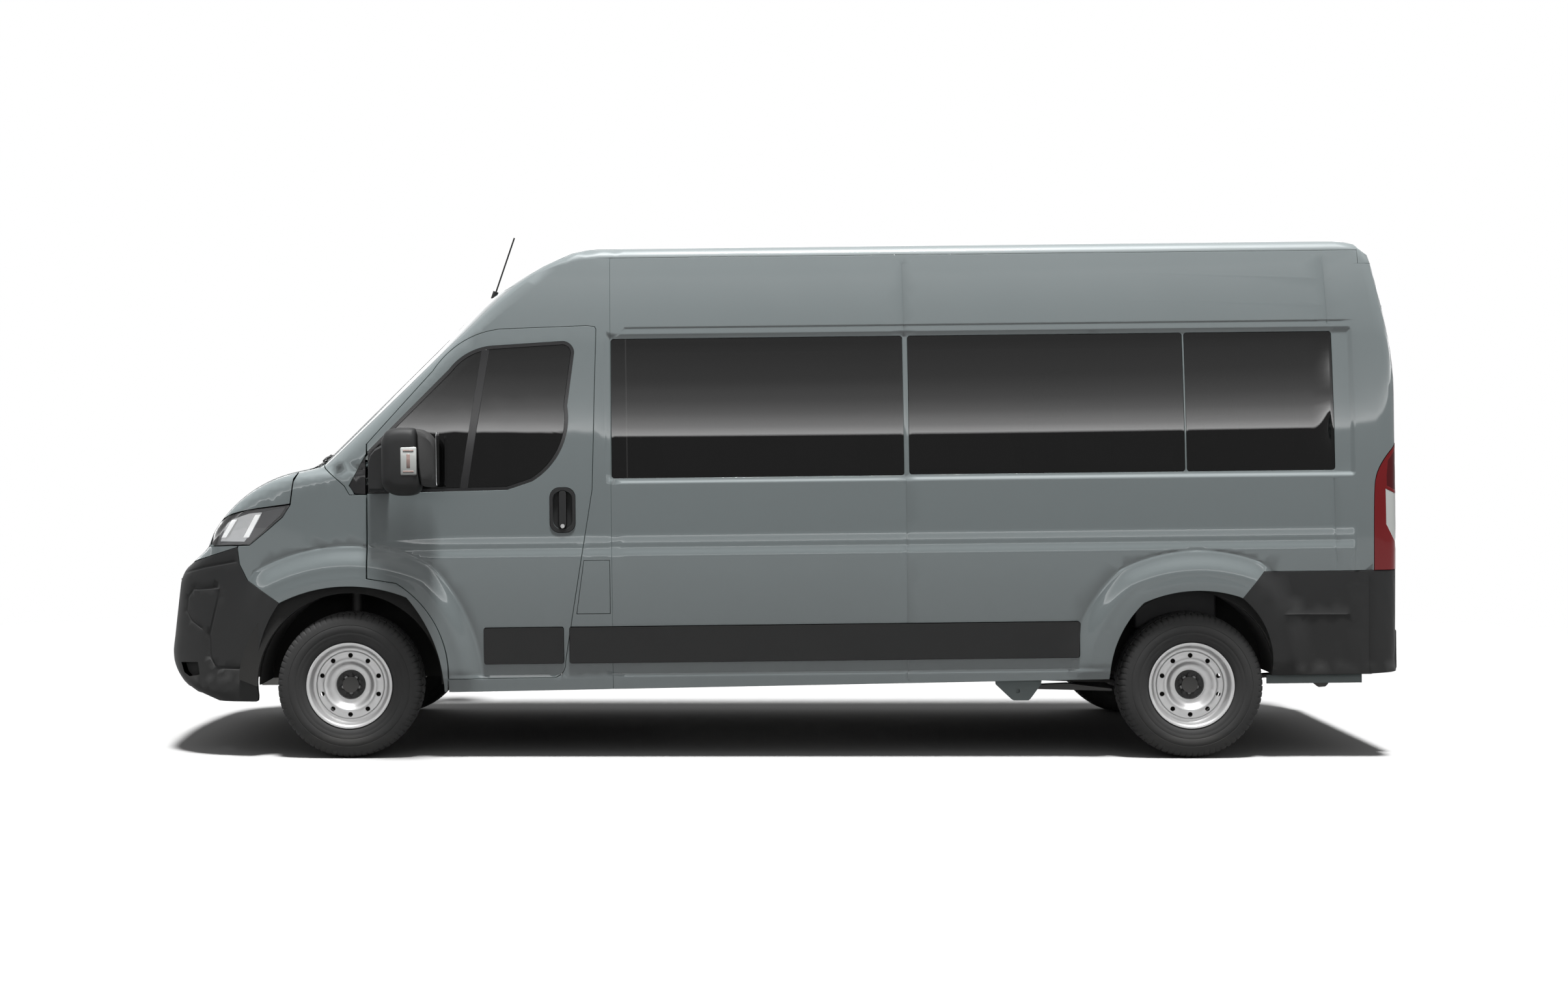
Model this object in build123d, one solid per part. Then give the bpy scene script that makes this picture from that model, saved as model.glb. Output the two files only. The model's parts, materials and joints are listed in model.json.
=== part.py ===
from build123d import *
import math
import os

os.makedirs("parts", exist_ok=True)

# A long-wheelbase, high-roof minibus, in mm. The body frame has x rearward from the front axle,
# y to the vehicle's right and z up from the road. The front faces -X.

# Driving dimensions
wheelbase = 4035          # front axle to rear axle
rear_overhang = 1020      # rear axle to rear door skin
tail_x = wheelbase + rear_overhang
track = 1790              # between the wheels' mid planes
tyre_r = 348              # 225/70 R15 tyre
tyre_w = 225
rim_r = 190.5             # 15 inch bead seat
rim_flange_r = 207
hub_bore_r = 39
vent_count = 10           # round vent holes in the steel disc
rake = 0.64               # tail-high rake of the unladen body, degrees
wall = 60                 # body side, door and roof build-up
glass_inset = 3
glass_t = 6
shut = 6                  # gap round doors and bonnet
hinge_gap = 8             # gap along a front door's hinge edge
run_gap = 0.3             # running clearance at pins and seats
kingpin_y = 745           # steering axis from the centre line
floor_top = 540
floor_t = 60
sill_z = 320
tail_z = 350              # underside behind the rear wheels
roof_top_z = 2505         # crown of the roof, on the centre line
roof_joint_z = roof_top_z - 114
shoulder_z = 1990         # the sides lean in above this
seam_front_x = 1265       # joint between cab side and body side
rear_post_y = 843         # rear doors lie between the corner posts
rear_sill_z = 560         # bottom of the rear doors
rear_header_z = roof_top_z - 180
nose_axis_x = 3400        # the nose and windscreen bow about this vertical line
front_arch_inner_y = 590
rear_arch_inner_y = 700
rail_y = 560
rail_w = 80
strip_proud = 14          # rub strips stand out this much

outer_y = 1100            # beyond the body on every side, for through cuts
ahead_x = -1200
behind_x = tail_x + 145
above_z = roof_top_z + 95

# Outlines. A pair is a straight run to (x, z); a pair of pairs is an arc via one point to the next.
section_steps = [         # cross section, (y, z)
    (-978, 150), (978, 150), ((1018, 1050), (960, shoulder_z)),
    ((926, (shoulder_z + roof_joint_z) / 2), (880, roof_joint_z)),
    ((866, roof_top_z - 82), (835, roof_top_z - 69)), ((0, roof_top_z - 13), (-835, roof_top_z - 69)),
    ((-866, roof_top_z - 82), (-880, roof_joint_z)),
    ((-926, (shoulder_z + roof_joint_z) / 2), (-960, shoulder_z)), ((-1018, 1050), (-978, 150)),
]
plan_steps = [            # plan of the body, (x, y)
    (-1050, -560), (-1000, -560), ((-810, -830), (-560, -950)), (-80, -1008), (150, -1030),
    (tail_x - 130, -1030), ((tail_x - 33, -985), (tail_x + 15, -888)), (tail_x + 15, 888),
    ((tail_x - 33, 985), (tail_x - 130, 1030)), (150, 1030), (-80, 1008), (-560, 950),
    ((-810, 830), (-1000, 560)), (-1050, 560), (-1050, -560),
]
nose_steps = [            # centre-line profile of the nose, (x, z)
    (-700, 150), (-700, 290), (-868, 331), ((-955, 420), (-962, 545)), (-922, 850), (-895, 905),
    (-790, 1000), (-760, 1080), ((-600, 1262), (-250, 1385)), (508, roof_top_z - 378),
    ((750, roof_top_z - 180), (1140, roof_top_z - 21)), (1250, roof_top_z), (1600, roof_top_z), (1600, 150),
    (-700, 150),
]
tail_steps = [            # centre-line profile of the tail, (x, z)
    (1250, 150), (1250, roof_top_z), (tail_x - 335, roof_top_z),
    ((tail_x - 193, roof_top_z - 37), (tail_x - 107, roof_top_z - 155)), (tail_x - 74, roof_top_z - 332),
    (tail_x - 43, 1997), ((tail_x - 11, 1760), (tail_x, 1469)), (tail_x - 10, 1031), (tail_x - 10, 150),
    (1250, 150),
]
front_arch_steps = [
    (-445, 200), (-445, 302), ((-415, 590), (-331, 749)), ((-10, 827), (285, 772)),
    ((393, 602), (459, 313)), (459, 200), (-445, 200),
]
rear_arch_steps = [
    (wheelbase - 397, 200), (wheelbase - 397, 347), ((wheelbase - 340, 565), (wheelbase - 234, 707)),
    ((wheelbase + 15, 762), (wheelbase + 233, 727)), ((wheelbase + 341, 597), (wheelbase + 380, 350)),
    (wheelbase + 380, 200), (wheelbase - 397, 200),
]
door_steps = [
    (100, 864), (100, 1505), (416, 1851), ((560, 1990), (780, 2049)), (1152, 2059), (1195, 2054),
    (1172, 1277), (1054, 564), (1035, 449), ((1020, 400), (977, 378)), (482, 378),
    ((400, 680), (236, 842)), (100, 864),
]
door_glass_steps = [
    (40, 1266), (10, 1305), (98, 1466), (491, 1857), ((590, 1940), (712, 1971)), (1036, 1989),
    ((1078, 1970), (1093, 1930)), (1058, 1676), ((985, 1400), (886, 1315)), (769, 1277), (40, 1266),
]
bonnet_steps = [
    (-1100, 1005), (-548, 1027), (-386, 1101), (-316, 1161), (-279, 1216), (-262, 1342), (-262, 1480),
    (-1100, 1480), (-1100, 1005),
]
headlamp_steps = [
    (-674, 1024), (-653, 1114), (-587, 1164), (-486, 1191), (-279, 1216), (-316, 1161), (-386, 1101),
    (-478, 1027), (-674, 1024),
]
bumper_steps = [
    (-1100, 240), (-445, 240), (-445, 302), ((-415, 590), (-331, 749)), (-489, 854), (-528, 934),
    (-537, 1015), (-729, 957), (-881, 900), (-1100, 880), (-1100, 240),
]
wing_steps = [
    (-537, 1015), (-528, 934), (-489, 854), (-331, 749), (0, 600), (459, 200), (470, 313), (476, 378),
    ((394, 676), (232, 836)), (92, 858), (92, 1262), (12, 1262), (-12, 1304), (-122, 1401), (-180, 1452),
    (-256, 1452), (-256, 1342), (-273, 1216), (-279, 1212), (-386, 1095), (-478, 1021), (-537, 1015),
]
rear_corner_steps = [     # rear bumper's side pieces
    (wheelbase + 341, 847), (wheelbase + 241, 727), (wheelbase + 292, 676), (wheelbase + 341, 597),
    (wheelbase + 380, 350), (wheelbase + 380, 300), (tail_x + 45, 300), (tail_x + 45, 842),
    (wheelbase + 341, 847),
]
tail_lamp_steps = [
    (tail_x - 146, 848), (tail_x - 142, 1210), (tail_x - 132, 1309), (tail_x - 86, 1389), (tail_x - 26, 1451),
    (tail_x + 45, 1475), (tail_x + 45, 848), (tail_x - 146, 848),
]
rear_pane = (tail_x - 1033, tail_x - 323, 1329, 1997)
window_panes = {          # x start, x end, z bottom, z top
    "left": [(1266, 2672, 1325, 1995), (2692, tail_x - 1041, 1329, 1997), rear_pane],
    "right": [(1345, 2595, 1325, 1995), (2750, tail_x - 1041, 1329, 1997), rear_pane],
}
strip_z = (447, 619)
strip_x = (651, wheelbase - 538)
screen_top_z = roof_top_z - 345
windscreen_steps = [      # (y, z)
    (-800, 1290), (800, 1290), (716, screen_top_z), (-716, screen_top_z), (-800, 1290),
]
screen_side_steps = [     # planes square to the screen at its foot and head, (x, z)
    (-165, 1310), (-305, 1450), (400, screen_top_z), (520, screen_top_z - 120), (-165, 1310),
]
roof_steps = [
    (520, screen_top_z - 120), (400, screen_top_z), (400, above_z), (behind_x, above_z), (behind_x, rear_header_z),
    (tail_x - 175, rear_header_z), (tail_x - 175, roof_joint_z), (1200, roof_joint_z),
    ((900, roof_joint_z - 81), (640, screen_top_z - 40)), (520, screen_top_z - 120),
]
rack_x = (1600, 3100, tail_x - 455)   # roof-rack points, an M8 thread each
rack_y = 760
rack_top = roof_top_z - 53
rack_boss_r = 14
rack_hole_r = 4
rack_depth = 20
sliding_door = (1275, 2665, 362, roof_joint_z - 61)      # x start, x end, z bottom, z top

sides = {"left": -1, "right": 1}


def shape(steps):
    """A flat face from an outline's steps."""
    edges = []
    here = steps[0]
    for step in steps[1:]:
        if isinstance(step[0], tuple):
            edges.append(ThreePointArc(here, step[0], step[1]))
            here = step[1]
        else:
            edges.append(Line(here, step))
            here = step
    return make_face(edges)


def grown(steps, amount):
    """An outline's face, moved outward by a gap, or inward where the gap is negative."""
    return offset(shape(steps), amount=amount) if amount else shape(steps)


def side_prism(face, y_low, y_high):
    return extrude(Plane.XZ.offset(-y_high) * face, amount=y_high - y_low)


def front_prism(face, x_low, x_high):
    return extrude(Plane.YZ.offset(x_low) * face, amount=x_high - x_low)


def plan_prism(face, z_low, z_high):
    return extrude(Plane.XY.offset(z_low) * face, amount=z_high - z_low)


def box(x_low, x_high, y_low, y_high, z_low, z_high):
    middle = ((x_low + x_high) / 2, (y_low + y_high) / 2, (z_low + z_high) / 2)
    return Pos(*middle) * Box(x_high - x_low, y_high - y_low, z_high - z_low)


def rod(start, end, radius):
    """A round bar between two points."""
    along = Vector(end) - Vector(start)
    return extrude(Plane(origin=start, z_dir=along) * Circle(radius), amount=along.length)


def band(side, low, high):
    """The y range from low to high on one side, in order."""
    return (low, high) if side > 0 else (-high, -low)


def both(solid):
    """A left-hand solid and its mirror image."""
    return [solid, mirror(solid, about=Plane.XZ)]


def hull(inset):
    """The closed body shape, moved inward by an inset."""
    axis = Axis((nose_axis_x, 0, 0), (0, 0, 1))
    nose = revolve(Plane.XZ * grown(nose_steps, -inset), axis=axis, revolution_arc=60)
    nose = nose.rotate(axis, -30)
    tail = side_prism(grown(tail_steps, -inset), -outer_y, outer_y)
    section = front_prism(grown(section_steps, -inset), ahead_x, behind_x)
    plan = plan_prism(grown(plan_steps, -inset), 100, above_z)
    return (nose + tail) & section & plan


outer = hull(0)
inner = hull(wall)
whole_shell = outer - inner
shell = whole_shell - box(ahead_x, behind_x, -outer_y, outer_y, 100, 270)
shell = shell - box(-445, behind_x, -outer_y, outer_y, 100, sill_z)
shell = shell - box(wheelbase + 365, behind_x, -outer_y, outer_y, 100, tail_z)
pane_hull = hull(glass_inset)
pane_shell = pane_hull - hull(glass_inset + glass_t)
nodes = {}                # node name: (shape, tilts with the body)


def put(name, solid, tilts=True):
    nodes[name] = (solid, tilts)


def put_pair(name, solid, tilts=True):
    """One node for a left-hand solid and its mirror image."""
    put(name, solid + mirror(solid, about=Plane.XZ), tilts)


def put_sides(name, solid, tilts=True):
    """Two nodes, for a left-hand solid and for its mirror image."""
    put(name + "_left", solid, tilts)
    put(name + "_right", mirror(solid, about=Plane.XZ), tilts)


# Panels: each takes its region of the shell, and what is left round the cab is the cab side.
arch_front = side_prism(shape(front_arch_steps), *band(-1, front_arch_inner_y, outer_y))
arch_rear = side_prism(shape(rear_arch_steps), *band(-1, rear_arch_inner_y, outer_y))
for arch in both(arch_front) + both(arch_rear):
    shell = shell - arch

# Windscreen
screen_zone = front_prism(shape(windscreen_steps), -400, 900) & side_prism(shape(screen_side_steps), -900, 900)
windscreen = pane_shell & screen_zone
shell = shell - screen_zone

# Bonnet, with the headlamps beside its nose
lamp_zone = side_prism(shape(headlamp_steps), *band(-1, 560, outer_y))
lamp_left = shell & lamp_zone
bonnet = shell & side_prism(shape(bonnet_steps), -outer_y, outer_y)
lamp_cut = side_prism(grown(headlamp_steps, shut), *band(-1, 560 - shut, outer_y))
for zone in both(lamp_cut):
    bonnet = bonnet - zone
put("bonnet", bonnet)
shell = shell - side_prism(grown(bonnet_steps, shut), -outer_y, outer_y)
for zone in both(lamp_zone):
    shell = shell - zone
put_pair("headlamps", lamp_left)

# Front bumper, with the grille in its mouth
grille_y = 470
grille_z = (620, 840)
intake_z = (400, 540)
bumper_zone = side_prism(shape(bumper_steps), -outer_y, outer_y)
bumper = shell & bumper_zone
shell = shell - bumper_zone
mouths = [box(-1100, -600, -grille_y, grille_y, *grille_z), box(-1100, -600, -grille_y, grille_y, *intake_z)]
for mouth in mouths:
    bumper = bumper - mouth
put("front_bumper", bumper)
grille_depth = (-920, -890)
grille = box(*grille_depth, -grille_y, grille_y, *grille_z)
slat_gap = 36
for row in range(4):
    slot_z = grille_z[0] + 22 + row * (slat_gap + 14)
    grille = grille - box(-1100, -600, -grille_y + 30, grille_y - 30, slot_z, slot_z + slat_gap)
put("grille", grille)

# Wings
wing_zone = side_prism(shape(wing_steps), *band(-1, 600, outer_y))
wing = shell & wing_zone
for zone in both(wing_zone):
    shell = shell - zone
put_sides("wing", wing)

# Front doors and their glass
door_zone = side_prism(shape(door_steps), *band(-1, 700, outer_y))
pane_zone = side_prism(shape(door_glass_steps), *band(-1, 700, outer_y))
door = (shell & door_zone) - pane_zone
side_glass = (pane_shell - screen_zone) & pane_zone
door_pane = side_glass & side_prism(grown(door_steps, -2), *band(-1, 700, outer_y))
door_cut = side_prism(grown(door_steps, shut), *band(-1, 700, outer_y))
corner_pane = side_glass - door_cut
for zone in both(door_cut):
    shell = shell - zone
hinge_way = box(100 - hinge_gap, 100, *band(-1, 800, outer_y), 850, 1505)
for zone in both(corner_pane) + both(hinge_way):
    shell = shell - zone
put_sides("door", door)
put_sides("door_glass", door_pane)

# Roof, with the rear header
roof_zone = side_prism(shape(roof_steps), -outer_y, outer_y)
roof = shell & roof_zone
for x in rack_x:
    for turn in sides.values():
        place = (x, turn * rack_y)
        roof = roof + rod((*place, rack_top - 12), (*place, rack_top), rack_boss_r)
        roof = roof - rod((*place, rack_top - rack_depth), (*place, rack_top), rack_hole_r)
put("roof", roof)
shell = shell - roof_zone

# Rear doors
rear_door_y = rear_post_y - shut
leaf_zone = box(tail_x - 205, behind_x, -rear_door_y, -shut, rear_sill_z + shut, rear_header_z - shut)
leaf_pane_zone = box(tail_x - 205, behind_x, -rear_door_y + 110, -110, 1330, 1960)
leaf = (shell & leaf_zone) - leaf_pane_zone
leaf_pane = pane_shell & leaf_pane_zone
put_sides("rear_door_glass", leaf_pane)
shell = shell - box(tail_x - 205, behind_x, -rear_post_y, rear_post_y, 100, rear_header_z)

# Rear bumper and tail lamps
corner_zone = side_prism(shape(rear_corner_steps), *band(-1, rear_post_y, outer_y))
corner = whole_shell & corner_zone & box(wheelbase, behind_x, -outer_y, 0, tail_z, 1000)
step = box(tail_x - 65, tail_x + 12, -rear_post_y, rear_post_y, 350, rear_sill_z - shut)
put("rear_bumper", step + corner + mirror(corner, about=Plane.XZ))
lamp_post = side_prism(shape(tail_lamp_steps), *band(-1, rear_post_y, outer_y))
tail_lamp = whole_shell & lamp_post
for zone in both(corner_zone) + both(lamp_post):
    shell = shell - zone
put_pair("tail_lamps", tail_lamp)

# Body sides behind the front doors, with their windows; the right one holds the sliding door
side_zone = box(seam_front_x, behind_x, -outer_y, 0, 100, roof_joint_z)
plain_side = shell & side_zone
slide_x0, slide_x1, slide_z0, slide_z1 = sliding_door
slide_zone = box(slide_x0, slide_x1, 0, outer_y, slide_z0, slide_z1)
slide_cut = box(slide_x0 - shut, slide_x1 + shut, 0, outer_y, slide_z0 - shut, slide_z1 + shut)
side_panes = []
for side, turn in sides.items():
    body_side = plain_side if turn < 0 else mirror(plain_side, about=Plane.XZ)
    panes = []
    for x_start, x_end, z_bottom, z_top in window_panes[side]:
        opening = box(x_start, x_end, *band(turn, 800, outer_y), z_bottom, z_top)
        body_side = body_side - opening
        panes.append(pane_shell & opening)
    side_panes = side_panes + panes
    if turn > 0:
        put("sliding_door", body_side & slide_zone)
        body_side = body_side - slide_cut
    put("side_panel_" + side, body_side)
for zone in both(side_zone):
    shell = shell - zone
fixed_glass = windscreen + corner_pane + mirror(corner_pane, about=Plane.XZ)
for pane in side_panes:
    fixed_glass = fixed_glass + pane
put("fixed_glass", fixed_glass)

# What is left of the shell: nose panel, cowl and cab sides
nose_panel = shell & box(-1000, -300, -outer_y, outer_y, 850, 1100)
cowl_panel = shell & box(-262, -205, -outer_y, outer_y, 1300, 1400)
put("front_panels", nose_panel + cowl_panel)
put("cab_side_left", shell & box(-200, seam_front_x, -outer_y, -200, 100, above_z))
put("cab_side_right", shell & box(-200, seam_front_x, 200, outer_y, 100, above_z))

# Rub strips, one stretch on each front door and the rest on the body side
strip_band = grown(section_steps, strip_proud) - grown(section_steps, 1)
strip_ring = front_prism(strip_band, strip_x[0], strip_x[1])
door_strip = strip_ring & box(strip_x[0], 1030, *band(-1, 900, outer_y), *strip_z)
body_strip = strip_ring & box(1052 + shut, strip_x[1], *band(-1, 900, outer_y), *strip_z)
put_pair("side_strips", body_strip)

# Floor, firewall and wheel arches
floor = inner & box(480, tail_x - 70, -outer_y, outer_y, floor_top - floor_t, floor_top)
cab_floor_z = 640
cab_floor = inner & box(20, 760, -outer_y, outer_y, cab_floor_z - 40, cab_floor_z)
riser = inner & box(720, 760, -outer_y, outer_y, floor_top, cab_floor_z - 40)
arch_t = 8
front_liner_r = 440
rear_liner_r = 405


def liner(x, z, radius, inner_y):
    """A wheel arch liner: a hooped sheet with a flat inner wall."""
    reach = band(-1, inner_y, outer_y)
    hoop = side_prism(Pos(x, z) * (Circle(radius + arch_t) - Circle(radius)), *reach)
    disc = side_prism(Pos(x, z) * Circle(radius + arch_t), *band(-1, inner_y - arch_t, inner_y))
    hub_way = side_prism(Pos(x, z) * Circle(70), -outer_y, 0)
    return ((hoop + disc) & inner & box(x - 600, x + 600, -outer_y, 0, z, 1000)) - hub_way


wheel_cuts = []
for x, radius, inner_y in ((0, front_liner_r, front_arch_inner_y), (wheelbase, rear_liner_r, rear_arch_inner_y)):
    disc = side_prism(Pos(x, tyre_r) * Circle(radius + arch_t), *band(-1, inner_y - arch_t, outer_y))
    wheel_cuts = wheel_cuts + both(disc)
for cut in wheel_cuts:
    floor = floor - cut
    cab_floor = cab_floor - cut
put("floor_pan", floor + cab_floor + riser)
front_liner = liner(0, tyre_r, front_liner_r, front_arch_inner_y)
rear_liner = liner(wheelbase, tyre_r, rear_liner_r, rear_arch_inner_y)
put_pair("arch_liners", front_liner + rear_liner)
firewall = (inner & box(-20, 20, -outer_y, outer_y, 500, 1330))
for cut in wheel_cuts:
    firewall = firewall - cut
put("firewall", firewall)

# Chassis rails with cross members, engine, tank and exhaust
rail_z = (350, floor_top - floor_t)
rails = [box(-600, tail_x - 115, *band(turn, rail_y - rail_w, rail_y), *rail_z) for turn in sides.values()]
frame = rails[0] + rails[1]
for x in (-600, 600, 1400, 2600, wheelbase - 535, wheelbase + 565):
    frame = frame + box(x, x + 70, -rail_y, rail_y, rail_z[0], rail_z[0] + 70)
put("chassis_frame", frame)
engine = box(-520, -40, -rail_y + rail_w, rail_y - rail_w, 300, 980)
engine = engine + box(-40, 60, -rail_y + rail_w, rail_y - rail_w, 300, 470)
put("engine_block", engine)
tank = box(1500, 2560, -rail_y + rail_w, 60, 300, rail_z[1])
pipe_r = 28
pipe_z = rail_z[0] - pipe_r - run_gap
pipe_y = 300
exhaust = rod((240, pipe_y, pipe_z), (3400, pipe_y, pipe_z), pipe_r)
exhaust = exhaust + rod((2700, pipe_y, pipe_z), (3300, pipe_y, pipe_z), 90)
put("tank_and_exhaust", exhaust + tank)


def underside(x):
    """Height of the leaning rails' underside above the road."""
    return rail_z[0] + x * math.sin(math.radians(rake))


# Rear springs with their hangers, on top of the axle beam
beam_z = 275
beam_r = 30
spring_y = rail_y - rail_w / 2
spring_w = 70
spring_t = 16
spring_x = (wheelbase - 835, wheelbase + 665)
spring_eye_z = (332, 356)
spring_seat_z = beam_z + beam_r + run_gap
spring_steps = [
    (spring_x[0], spring_eye_z[0]), (wheelbase, spring_seat_z), (spring_x[1], spring_eye_z[1]),
    (spring_x[1], spring_eye_z[1] + spring_t), (wheelbase, spring_seat_z + spring_t),
    (spring_x[0], spring_eye_z[0] + spring_t), (spring_x[0], spring_eye_z[0]),
]
spring_reach = (-spring_y - spring_w / 2, -spring_y + spring_w / 2)
spring = side_prism(shape(spring_steps), *spring_reach)
for x, eye_z in zip(spring_x, spring_eye_z):
    spring = spring + box(x - 30, x + 30, *spring_reach, eye_z - 35, underside(x - 30) - run_gap)
put_pair("rear_springs", spring, tilts=False)


# Wheels: one tyre and one rim about the y axis, outboard to -y, then placed four times
half_w = tyre_w / 2
bead_y = 81
flange_y = bead_y + 9
shoulder_r = tyre_r - 20
tyre_steps = [            # (radius, y)
    (rim_r, -bead_y + run_gap), (rim_flange_r + 2, -bead_y - 1.7), (rim_flange_r + 2, -flange_y - 2),
    ((tyre_r - 80, -half_w), (shoulder_r, -half_w + 10)), (tyre_r, -half_w + 34), (tyre_r, half_w - 34),
    (shoulder_r, half_w - 10), ((tyre_r - 80, half_w), (rim_flange_r + 2, flange_y + 2)),
    (rim_flange_r + 2, bead_y + 1.7), (rim_r, bead_y - run_gap), (rim_r, -bead_y + run_gap),
]
seat_r = rim_r - run_gap
disc_y = -48              # outboard face of the wheel disc at the hub
disc_t = 10
rim_steps = [             # (radius, y)
    (seat_r, bead_y), (rim_flange_r, bead_y + 2), (rim_flange_r, flange_y), (seat_r - 10, flange_y - 2),
    (seat_r - 10, -28), (157, -42), (102, -50), (82, disc_y + disc_t), (hub_bore_r, disc_y + disc_t),
    (hub_bore_r, disc_y), (80, disc_y), (100, -62), (159, -54), (seat_r - 12, -flange_y + 2),
    (rim_flange_r, -flange_y), (rim_flange_r, -bead_y - 2), (seat_r, -bead_y), (seat_r, bead_y),
]
spin = Axis((0, 0, 0), (0, 1, 0))
tyre = revolve(shape(tyre_steps), axis=spin)
rim = revolve(shape(rim_steps), axis=spin)
hole_pitch_r = 142
hole_r = 11
for step_index in range(vent_count):
    angle = math.radians(360 / vent_count * step_index)
    place = (hole_pitch_r * math.cos(angle), hole_pitch_r * math.sin(angle))
    rim = rim - rod((place[0], -100, place[1]), (place[0], -20, place[1]), hole_r)
for end, x in {"front": 0, "rear": wheelbase}.items():
    for side, turn in sides.items():
        for name, piece in {"tyre_": tyre, "rim_": rim}.items():
            piece = piece if turn < 0 else mirror(piece, about=Plane.XZ)
            put(name + end + "_" + side, Pos(x, turn * track / 2, tyre_r) * piece, tilts=False)

# Steering knuckles on their kingpins, with the arms and struts that hold them
spindle_r = hub_bore_r - run_gap
spindle_end_y = track / 2 - disc_y + 6
upright = (28, 24)        # half sizes along x and y
upright_z = (222, 540)
pin_r = 14
arm_t = 25
knuckle = box(-upright[0], upright[0], -kingpin_y - upright[1], -kingpin_y + upright[1], *upright_z)
knuckle = knuckle + rod((0, -kingpin_y, upright_z[0] - arm_t), (0, -kingpin_y, upright_z[1] + 30), pin_r)
knuckle = knuckle + rod((0, -kingpin_y, tyre_r), (0, -spindle_end_y, tyre_r), spindle_r)
knuckle = knuckle + box(20, 140, -kingpin_y - 12, -kingpin_y + 12, 320, 340)
put_sides("knuckle", knuckle, tilts=False)
eye_r = pin_r + run_gap
arm_z = (upright_z[0] - arm_t, upright_z[0] - run_gap)
arm_plan = [
    (-90, -500), (90, -500), (90, -rail_y), (24, -kingpin_y + 24), ((0, -kingpin_y - 30), (-24, -kingpin_y + 24)),
    (-90, -rail_y), (-90, -500),
]
lower_arm = plan_prism(shape(arm_plan), *arm_z)
for x in (-90, 50):
    lower_arm = lower_arm + box(x, x + 40, -rail_y, -500, arm_z[0], underside(x) - run_gap)
lower_arm = lower_arm - rod((0, -kingpin_y, 100), (0, -kingpin_y, 300), eye_r)
strut = rod((0, -kingpin_y, upright_z[1] + run_gap), (0, -kingpin_y, tyre_r + front_liner_r + 4), 26)
strut = strut - rod((0, -kingpin_y, 500), (0, -kingpin_y, upright_z[1] + 31), eye_r)
strut = strut - side_prism(Pos(0, tyre_r) * (Circle(600) - Circle(front_liner_r)), -outer_y, 0)
upright_sweep_r = math.hypot(*upright) + 5     # the upright's corners pass inside this
drive_shaft = rod((0, -rail_y + rail_w, 330), (0, -kingpin_y + upright_sweep_r, 330), pin_r)
rack_x = 180
rack_r = 20
rack_z = underside(rack_x) - rack_r - run_gap
rack = rod((rack_x, -rail_y, rack_z), (rack_x, rail_y, rack_z), rack_r)
hangers = lower_arm + strut + drive_shaft
put("front_suspension", hangers + mirror(hangers, about=Plane.XZ) + rack, tilts=False)

# Rear axle: a dropped beam under the springs, with a spindle at each end
beam_end_y = 676
axle = rod((wheelbase, -beam_end_y, beam_z), (wheelbase, beam_end_y, beam_z), beam_r)
for side, turn in sides.items():
    axle = axle + box(wheelbase - 35, wheelbase + 35, *band(turn, beam_end_y - 30, beam_end_y), 245, 400)
    axle = axle + rod((wheelbase, turn * (beam_end_y - 10), tyre_r), (wheelbase, turn * spindle_end_y, tyre_r), spindle_r)
put("rear_axle", axle, tilts=False)


# Dashboard, steering column and steering wheel, for a driver on the left
dash_steps = [
    (20, 930), (20, 1300), (250, 1320), (420, 1270), (460, 1080), (400, 930), (20, 930),
]
dash = side_prism(shape(dash_steps), -900, 900) & inner
driver_y = -480
column_lean = 45          # steering column from the horizontal, degrees
lean = (math.cos(math.radians(column_lean)), math.sin(math.radians(column_lean)))
wheel_hub = (620, driver_y, 1250)
column_length = 330
ring_r = 190
grip_r = 15


def up_column(distance):
    """A point on the column's axis, this far from the steering wheel's hub towards the driver."""
    return (wheel_hub[0] + distance * lean[0], wheel_hub[1], wheel_hub[2] + distance * lean[1])


column = rod(up_column(-column_length), up_column(-30 - run_gap), 26)
put("dashboard", dash + column)
wheel_plane = Plane(origin=wheel_hub, z_dir=(lean[0], 0, lean[1]), x_dir=(0, 1, 0))
grip = revolve(Pos(ring_r, 0) * Circle(grip_r), axis=Axis((0, 0, 0), (0, 1, 0)))
ring = wheel_plane * (Rot(90, 0, 0) * grip)
hub = rod(up_column(-30), up_column(12), 55)
spokes = [wheel_plane * (Rot(0, 0, turn) * (Pos(ring_r / 2, 0, -6) * Box(ring_r, 34, 12))) for turn in (0, 180, 270)]
put("steering_wheel", ring + hub + spokes[0] + spokes[1] + spokes[2])


# Seats: one joined form each, with a leg, cushion, back and headrest
seat_leg = 90
cushion_t = 130
back_t = 110
back_h = 640
seat_depth = 470


def seat(front_x, mid_y, width, floor_z, cushion_z, legs):
    """A row of places on one frame; the width is one place, and legs are the frame's y offsets."""
    back_x = front_x + seat_depth
    low = cushion_z - cushion_t
    form = box(front_x, back_x, mid_y - width / 2, mid_y + width / 2, low, cushion_z)
    back = [
        (back_x - 60, low), (back_x + 40, low), (back_x + 130, cushion_z + back_h),
        (back_x + 130 - back_t, cushion_z + back_h), (back_x - 70, cushion_z), (back_x - 60, low),
    ]
    form = form + side_prism(shape(back), mid_y - width / 2, mid_y + width / 2)
    head = box(back_x + 50, back_x + 140, mid_y - 130, mid_y + 130, cushion_z + back_h + 30, cushion_z + back_h + 210)
    posts = [box(back_x + 80, back_x + 92, mid_y + s * 60 - 6, mid_y + s * 60 + 6,
                 cushion_z + back_h - 40, cushion_z + back_h + 40) for s in (-1, 1)]
    form = form + head + posts[0] + posts[1]
    for offset_y in legs:
        form = form + box(front_x + 120, back_x, mid_y + offset_y - 25, mid_y + offset_y + 25, floor_z, low)
    return form


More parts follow.
